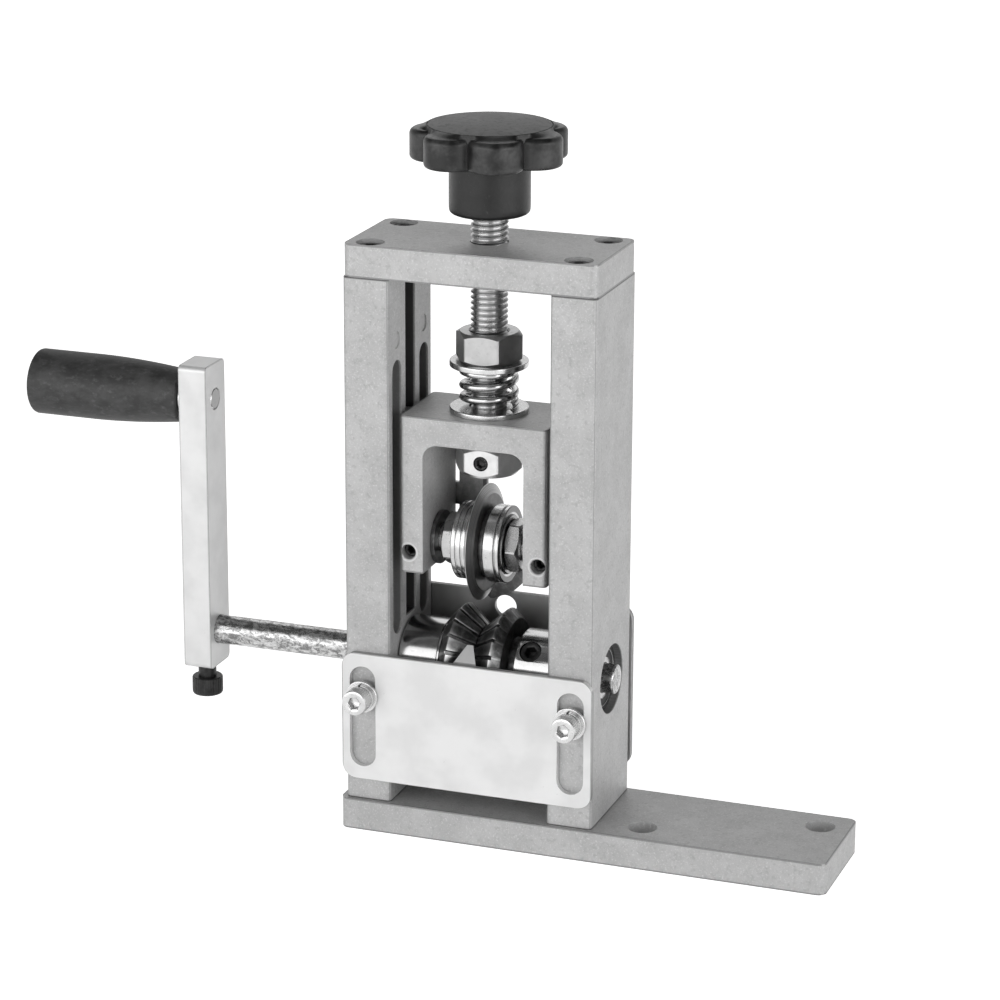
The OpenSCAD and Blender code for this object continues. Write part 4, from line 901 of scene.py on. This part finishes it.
for vert in bm.verts:  # chamfer at the lower end
    up = vert.co.z / mm - bottom
    most = (thread["radius"] - thread["chamfer"] + up) * mm
    reach = math.hypot(vert.co.x, vert.co.y)
    if up < thread["chamfer"] and reach > most:
        vert.co.x *= most / reach
        vert.co.y *= most / reach
wound = asMesh(bm, "threaded_rod")
shade(wound, 50)
piece("threaded_rod", wound, "thread", "spindle")

nut = {"flats": 16.0, "tall": 8.0, "bore": 5.02, "chamfer": 0.12, "lean": 30, "turn": 34}
jam = {**nut, "chamfer": 0.3, "lean": 42}
jamScrew = {"radius": 1.95, "key": 2.0, "length": 2.9, "hole": 2.0, "holeFrom": 4.2, "holeTo": 9.5, "reach": 7.85}
nutZ, lockZ = span("spring_nut", "z")[0], span("lock_nut", "z")[0]
piece("pressure_nut", hexNut("pressure_nut", nut, "Z", (0, 0, nutZ), nut["turn"]), "nut", "spring_nut")
flatTurn = math.radians(jam["turn"] - 30)  # the set screw sits in the middle of the front flat
jamNut = linked("jam_nut_draft", hexNut("jam_nut", jam, "Z", (0, 0, lockZ), jam["turn"]))
drill = lathe("drill", [(0, jamScrew["holeFrom"]), (jamScrew["hole"], jamScrew["holeFrom"]),
                        (jamScrew["hole"], jamScrew["holeTo"]), (0, jamScrew["holeTo"])], "-Y",
              (0, 0, lockZ + jam["tall"] / 2), steps=48)
drill.transform(Matrix.Rotation(flatTurn, 4, "Z"))
drill = linked("drill", drill)
hole = jamNut.modifiers.new("set screw hole", "BOOLEAN")
hole.operation, hole.object, hole.solver = "DIFFERENCE", drill, "EXACT"
jamNut = bake(jamNut)
bpy.data.objects.remove(drill)
shade(jamNut, 20)
piece("jam_nut", jamNut, "paleNut", "lock_nut")
spot = (math.sin(flatTurn) * jamScrew["reach"], -math.cos(flatTurn) * jamScrew["reach"], lockZ + jam["tall"] / 2)
setPiece("jam_nut_grub", "lock_nut_set_screw", "black", grubScrew(jamScrew), [(spot, (90, 0, jam["turn"] - 30))])


def washer(name, node, outer, bore):
    z0, z1 = span(node, "z")
    ring = [(bore, z0, 0.12), (outer, z0, 0.2), (outer, z1, 0.35), (bore, z1, 0.12)]
    turnedPiece(name, node, "spindleTurned", ring, closed=True, steps=128)


washer("washer_over_spring", "upper_washer", 10.5, 5.3)
washer("washer_under_spring", "lower_washer", 10.5, 5.3)
washer("washer_on_jam_nut", "thrust_washer", 8.6, 5.1)
print("spindle dressed")

# Spring
spring = {"wire": 1.0, "coil": 7.0, "turns": 3.1, "start": -20, "low": 1.0, "mid": 1.7, "lowPitch": 2.5,
          "topPitch": 0.6, "gap": 0.05, "perTurn": 40, "sides": 16}
springLow = span("lower_washer", "z")[1]
springTall = span("upper_washer", "z")[0] - springLow


def springShape():  # a wire swept along a helix whose pitch changes
    g = Shape("wound_spring", Coil="Float", Wire="Float", Turns="Float", Start="Float", Low="Float", Mid="Float",
              LowPitch="Float", TopPitch="Float", Rise="Float", Steps="Int", Sides="Int", Finish="Material")
    turns, low, mid, lowPitch = (g.input(label) for label in ("Turns", "Low", "Mid", "LowPitch"))
    line = g.add("GeometryNodeCurvePrimitiveLine", values={"Start": (0, 0, 0), "End": (0, 0, 1)})
    fine = g.add("GeometryNodeResampleCurve", values={"Curve": line, "Count": g.input("Steps")})
    t = g.add("GeometryNodeSplineParameter") * turns
    tail = turns - low - mid
    midRise = g.input("Rise") - low * lowPitch - tail * g.input("TopPitch")
    inMid = (t - low).most(0).least(mid)
    inTop = (t - low - mid).most(0)
    z = t.least(low) * lowPitch + inMid / mid * midRise + inTop * g.input("TopPitch")
    a = t * (2 * math.pi) + g.input("Start")
    where = g.xyz(a.cos() * g.input("Coil"), a.sin() * g.input("Coil"), z)
    path = g.add("GeometryNodeSetPosition", values={"Geometry": fine, "Position": where})
    hoop = g.add("GeometryNodeCurvePrimitiveCircle", values={"Resolution": g.input("Sides"), "Radius": g.input("Wire")})
    g.end(g.add("GeometryNodeCurveToMesh", values={"Curve": path, "Profile Curve": hoop, "Fill Caps": True}))
    return g


rise = springTall - 2 * spring["wire"] - 2 * spring["gap"]
coil = springShape().grow(
    "coil", "wire", None, Coil=spring["coil"] * mm, Wire=spring["wire"] * mm, Turns=spring["turns"],
    Start=math.radians(spring["start"]), Low=spring["low"], Mid=spring["mid"], LowPitch=spring["lowPitch"] * mm,
    TopPitch=spring["topPitch"] * mm, Rise=rise * mm, Steps=int(spring["turns"] * spring["perTurn"]),
    Sides=spring["sides"])
coil.transform(Matrix.Translation((0, 0, (springLow + spring["gap"] + spring["wire"]) * mm)))
bm = bmesh.new()
bm.from_mesh(coil)
coil = asMesh(bm, "coil_spring")
shade(coil, 60)
coil = piece("coil_spring", coil, "wire", "pressure_spring")
floatUp = next(joint["range_m"][1] for joint in frame["record"]["behaviour"]["joints"]
               if joint["name"] == "carriage_float") / mm
(springLow + springTall) * mm
(springTall - floatUp) / springTall
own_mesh(coil)
print("spring dressed")

# Star knob
knob = {"lobes": 7, "angle": -64.3, "radius": 21.0, "lobeShare": 0.34, "valley": 16.6, "fill": 0.6, "hub": 10.7,
        "hubHigh": 14.0, "lobeHigh": 8.6, "under": 1.1, "over": 1.9, "dome": 0.8, "insert": 6.5, "insertDeep": 13.0,
        "cap": 16.3, "capThick": 1.2, "capGap": 0.12, "crown": 1.0, "steps": 336}
knobZ = span("star_knob", "z")[0]


def softMax(a, b, width):
    h = max(width - abs(a - b), 0.0) / width
    return max(a, b) + h * h * width / 4


def lobed(a):  # the outline's radius: round lobes with softly filled valleys
    lobeR = knob["radius"] * knob["lobeShare"]
    off = knob["radius"] - lobeR
    half = math.pi / knob["lobes"]
    d = (a - math.radians(knob["angle"]) + half) % (2 * half) - half
    reach = off * math.cos(d) + math.sqrt(max(lobeR ** 2 - (off * math.sin(d)) ** 2, 0.01))
    return min(softMax(reach, knob["valley"], knob["fill"]), knob["radius"])


def knobMesh():
    k = knob
    steps, hub, under, over = k["steps"], k["hub"], k["under"], k["over"]
    angles = [2 * math.pi * i / steps for i in range(steps)]
    outer = [lobed(a) for a in angles]

    def ring(radii, h):
        return [(r * math.cos(a), r * math.sin(a), knobZ + h) for r, a in zip(radii, angles)]

    def flat(r, h):
        return ring([r] * steps, h)

    def quarter(count, first=1):  # angles of a rounding, in radians
        return [math.radians(90 * i / count) for i in range(first, count + 1)]

    underside, topEdge = k["hubHigh"], k["hubHigh"] + k["lobeHigh"]
    seat, capFloor = k["cap"] + k["capGap"], topEdge + k["dome"] - k["capThick"]
    rings = [[(0, 0, knobZ + k["insertDeep"])], flat(k["insert"], k["insertDeep"]), flat(k["insert"], 0.4),
             flat(k["insert"] + 0.4, 0.1), flat(hub - 1.5, 0.0)]
    for t in quarter(5):  # round lower edge of the hub
        rings.append(flat(hub - 1.5 + 1.45 * math.sin(t), 1.2 - 1.2 * math.cos(t)))
    rings += [flat(hub, 2.4), flat(hub, underside - 1.2)]
    for t in quarter(4):  # fillet under the lobes
        rings.append(flat(hub + 1.0 - 1.0 * math.cos(t), underside - 1.0 + 0.95 * math.sin(t)))
    rings.append(ring([min(r - under - 1.2, max(hub + 1.5, r - 3.0)) for r in outer], underside))
    for t in quarter(5, 0):  # round lower edge of the lobes
        rings.append(ring([r - under + under * math.sin(t) for r in outer], underside + under - under * math.cos(t)))
    rings += [ring(outer, underside + k["lobeHigh"] * 0.45), ring(outer, topEdge - over)]
    for i, t in enumerate(quarter(7), 1):  # round upper edge of the lobes
        rings.append(ring([max(r - over * (1 - math.cos(t)), seat + 0.02 * (9 - i)) for r in outer],
                          topEdge - over + over * 0.86 * math.sin(t)))
    edge = [max(r - over, seat + 0.04) for r in outer]
    for share in (0.35, 0.7, 0.95):  # sloping up to the cap's seat
        rings.append(ring([e + (seat - e) * share for e in edge],
                          topEdge - over * 0.14 + (k["dome"] + over * 0.14) * share))
    rings += [flat(seat, topEdge + k["dome"] - 0.02), flat(seat - 0.02, capFloor), flat(2.0, capFloor),
              [(0, 0, knobZ + capFloor)]]
    return asMesh(skin(rings), "knob")


body = knobMesh()
shade(body, 40)
piece("knob_body", body, "knob", "star_knob")
capZ = span("knob_cap", "z")[0]
capProfile = [(0, capZ), (knob["cap"], capZ, 0.1), (knob["cap"], capZ + knob["capThick"], 0.3)]
for k in range(1, 9):
    share = 1 - k / 8
    capProfile.append((knob["cap"] * share, capZ + knob["capThick"] + knob["crown"] * (1 - share ** 2)))
turnedPiece("knob_disc", "knob_cap", "cap", capProfile, steps=128)
print("knob dressed")

# Carriage
easedPiece("carriage_body", "blade_carriage", 0.4, "carriage", "frameEdge")
legScrew = {"radius": 1.95, "key": 2.0, "length": 5.9}
spots = [((x * legHole["x"], span("carriage_set_screws", "y")[0], legHole["z"]), (90, 0, 0)) for x in (-1, 1)]
setPiece("leg_grubs", "carriage_set_screws", "black", grubScrew(legScrew), spots, keySpin, 4)
axleRadius = 4.0
axleX = span("blade_axle", "x")
turnedPiece("cutter_axle", "blade_axle", "axleTurned", [(0, axleX[0]), (axleRadius, axleX[0], 0.4),
                                                        (axleRadius, axleX[1], 0.4), (0, axleX[1])],
            "X", (0, 0, axleHeight))
axleNut = {"flats": 13.0, "tall": 4.0, "bore": 4.02, "chamfer": 0.1, "lean": 30, "left": 30, "right": 0}
nutX = span("axle_nuts", "x")
nutPair = joined("axle_nut_pair", *[
    hexNut("nut", axleNut, "X", (x, 0, axleHeight), turn)
    for x, turn in ((nutX[0], axleNut["left"]), (nutX[1] - axleNut["tall"], axleNut["right"]))])
shade(nutPair, 20)
piece("axle_nut_pair", nutPair, "axleTurned", "axle_nuts")
# painted shade: the washers between the legs and the wheels take the dark steel finish for the shade they sit in
easedPiece("leg_washers", "axle_washers", 0.15, "dark", steps=2)
easedPiece("bearing_spacer", "axle_spacer", 0.15, "axleTurned", steps=2)
easedPiece("splitter", "splitter_plate", 0.15, "dark", steps=2)
easedPiece("splitter_heads", "splitter_screws", 0.2, "screw")
print("carriage dressed")

# Cutter
blade = {"bore": 8.2, "rim": 15.8, "bevel": 2.7, "thick": 2.6, "edge": 0.06, "notch": 1.0}
bladeX = span("blade", "x")


def notched(r, a):  # a round key notch in the bore, at the bottom of the blade
    ahead, away = blade["bore"] * math.cos(a - math.pi), blade["bore"] * math.sin(a - math.pi)
    if abs(r - blade["bore"]) > 0.01 or ahead < 0 or abs(away) > blade["notch"]:
        return r
    return max(r, ahead + math.sqrt(blade["notch"] ** 2 - away ** 2))


flatR = blade["rim"] - blade["bevel"]
half = blade["thick"] / 2
bladeProfile = [(blade["bore"], 0), (flatR, 0, 0.06), (blade["rim"] - 0.03, half - blade["edge"]),
                (blade["rim"], half), (blade["rim"] - 0.03, half + blade["edge"]), (flatR, blade["thick"], 0.06),
                (blade["bore"], blade["thick"])]
mesh = lathe("round_blade", bladeProfile, "X", (bladeX[0], 0, axleHeight), steps=240, closed=True, shape=notched)
shade(mesh, 12)
piece("round_blade", mesh, "blade", "blade")
easedPiece("blade_hub", "blade_sleeve", 0.12, "dark", steps=2)

wheel = {"outer": 10.5, "bore": 8.0, "grooves": (1.25, 2.75, 4.0), "cut": 0.45, "shallow": 0.3, "groove": 0.5,
         "deep": 0.8, "flange": 1.0}
outer, bore = wheel["outer"], wheel["bore"]
leftX, rightX = span("left_press_wheel", "x"), span("right_press_wheel", "x")
wide = leftX[1] - leftX[0]
leftProfile = [(bore, 0, 0.1), (outer, 0, 0.4)]
for start in wheel["grooves"]:  # shallow turned grooves
    if start + wheel["cut"] < wide - 0.4:
        inner = outer - wheel["shallow"]
        leftProfile += [(outer, start, 0.12), (inner, start + 0.12), (inner, start + wheel["cut"] - 0.12),
                        (outer, start + wheel["cut"], 0.12)]
leftProfile += [(outer, wide, 0.4), (bore, wide, 0.1)]
wide = rightX[1] - rightX[0]
cut = wide - wheel["flange"] - wheel["groove"]  # one deeper groove beside the flange
rightProfile = [(bore, 0, 0.1), (outer, 0, 0.45), (outer, cut, 0.3), (outer - wheel["deep"], cut),
                (outer - wheel["deep"], cut + wheel["groove"]), (outer, cut + wheel["groove"], 0.2),
                (outer, wide, 0.35), (bore + 0.9, wide, 0.1), (bore, wide - 0.25, 0.1)]
for name, node, profile, x in (("turned_wheel", "left_press_wheel", leftProfile, leftX[0]),
                               ("grooved_wheel", "right_press_wheel", rightProfile, rightX[0])):
    turnedPiece(name, node, "wheel", profile, "X", (x, 0, axleHeight), steps=144, closed=True)
print("cutter dressed")

# Hidden CAD pieces keep their meshes
for node, finish in (("shaft_bearing_balls", "shaftTurned"), ("blade_bearing_balls", "axleTurned"),
                     ("knob_insert", "spindleTurned")):
    cad[node].data.materials.clear()
    cad[node].data.materials.append(finishes[finish])

# Camera
view = {"azimuth": 19.86, "elevation": 17.32, "roll": 0.24, "distance": 959.7, "target": (3.16, 0, 92.62),
        "lens": 129.92}


def outward(azimuth, elevation):  # the way from the object, in degrees
    a, e = math.radians(azimuth), math.radians(elevation)
    return Vector((math.sin(a) * math.cos(e), -math.cos(a) * math.cos(e), math.sin(e)))


az, roll = math.radians(view["azimuth"]), math.radians(view["roll"])
back = outward(view["azimuth"], view["elevation"])
right = Vector((math.cos(az), math.sin(az), 0))
up = back.cross(right)
camRight = right * math.cos(roll) + up * math.sin(roll)
camUp = up * math.cos(roll) - right * math.sin(roll)
camera = linked("camera", bpy.data.cameras.new("camera"))
camera.data.lens, camera.data.sensor_width = view["lens"], 36
camera.data.clip_start, camera.data.clip_end = 0.01, 50
eye = (Vector(view["target"]) + back * view["distance"]) * mm
camera.matrix_world = Matrix.Translation(eye) @ Matrix((camRight, camUp, back)).transposed().to_4x4()
bpy.context.scene.camera = camera

# Floor, world and lamps
studio = {"floor": 0.8, "floorGlow": 0.86, "glowFrom": 0.35, "glowTo": 1.6, "floorHalf": 8, "sky": 0.08,
          "horizon": 0.95, "ceiling": 0.12}
plane = bpy.data.meshes.new("floor")
plane.from_pydata([(x * studio["floorHalf"], y * studio["floorHalf"], 0)
                   for x, y in ((-1, -1), (1, -1), (1, 1), (-1, 1))], [], [(0, 1, 2, 3)])
floor = linked("floor", plane)
f = Finish("pale_floor")
f.tree.nodes.clear()
f.place = f.add("ShaderNodeTexCoord").of("Object")
glow = (f.round("Z", (0, 0)) * mm).ramp(studio["glowFrom"], studio["glowTo"], studio["floorGlow"], 1.0)
path = f.add("ShaderNodeLightPath")
seen = path.of("Is Camera Ray").most(path.of("Is Glossy Ray")).most(path.of("Is Transmission Ray"))
matt = f.add("ShaderNodeBsdfDiffuse", values={"Color": grey(studio["floor"])})
glow = f.add("ShaderNodeEmission", values={"Color": grey(1), "Strength": seen * glow})
both = f.add("ShaderNodeAddShader", values={0: matt, 1: glow})
f.add("ShaderNodeOutputMaterial", values={"Surface": both})
plane.materials.append(f.material)

world = bpy.data.worlds.new("studio")
bpy.context.scene.world = world
world.use_nodes = True
air = Graph(world.node_tree)
air.tree.nodes.clear()
path = air.add("ShaderNodeLightPath")
height = air.add("ShaderNodeSeparateXYZ", values={0: air.add("ShaderNodeTexCoord").of("Generated")}).of("Z")
dome = height.ramp(0.08, 0.46, studio["horizon"], studio["ceiling"])
glossy = path.of("Is Glossy Ray").most(path.of("Is Transmission Ray"))
strength = path.of("Is Camera Ray") + glossy * dome
strength = strength + (1 - path.of("Is Camera Ray").most(glossy)) * studio["sky"]
sky = air.add("ShaderNodeBackground", values={"Color": grey(1), "Strength": strength})
air.add("ShaderNodeOutputWorld", values={"Surface": sky})

lamps = {
    "key": {"azimuth": -28, "elevation": 16, "distance": 1.15, "size": (1.6, 0.8), "watts": 8.6},
    "side": {"azimuth": 72, "elevation": 12, "distance": 1.2, "size": (1.2, 0.8), "watts": 8.6},
    "top": {"azimuth": 10, "elevation": 74, "distance": 1.3, "size": (1.0, 1.0), "watts": 0.6},
    "rear": {"azimuth": 200, "elevation": 35, "distance": 1.3, "size": (0.9, 0.7), "watts": 2.6},
}
lampAim = Vector((0, 0, 0.09))
for name, lamp in lamps.items():
    light = bpy.data.lights.new(name, "AREA")
    light.shape, light.energy = "RECTANGLE", lamp["watts"]
    light.size, light.size_y = lamp["size"]
    thing = linked(name, light)
    away = outward(lamp["azimuth"], lamp["elevation"])
    thing.location = lampAim + away * lamp["distance"]
    thing.rotation_euler = away.to_track_quat("Z", "Y").to_euler()

bpy.context.scene.view_settings.view_transform = "Standard"
print("studio ready")
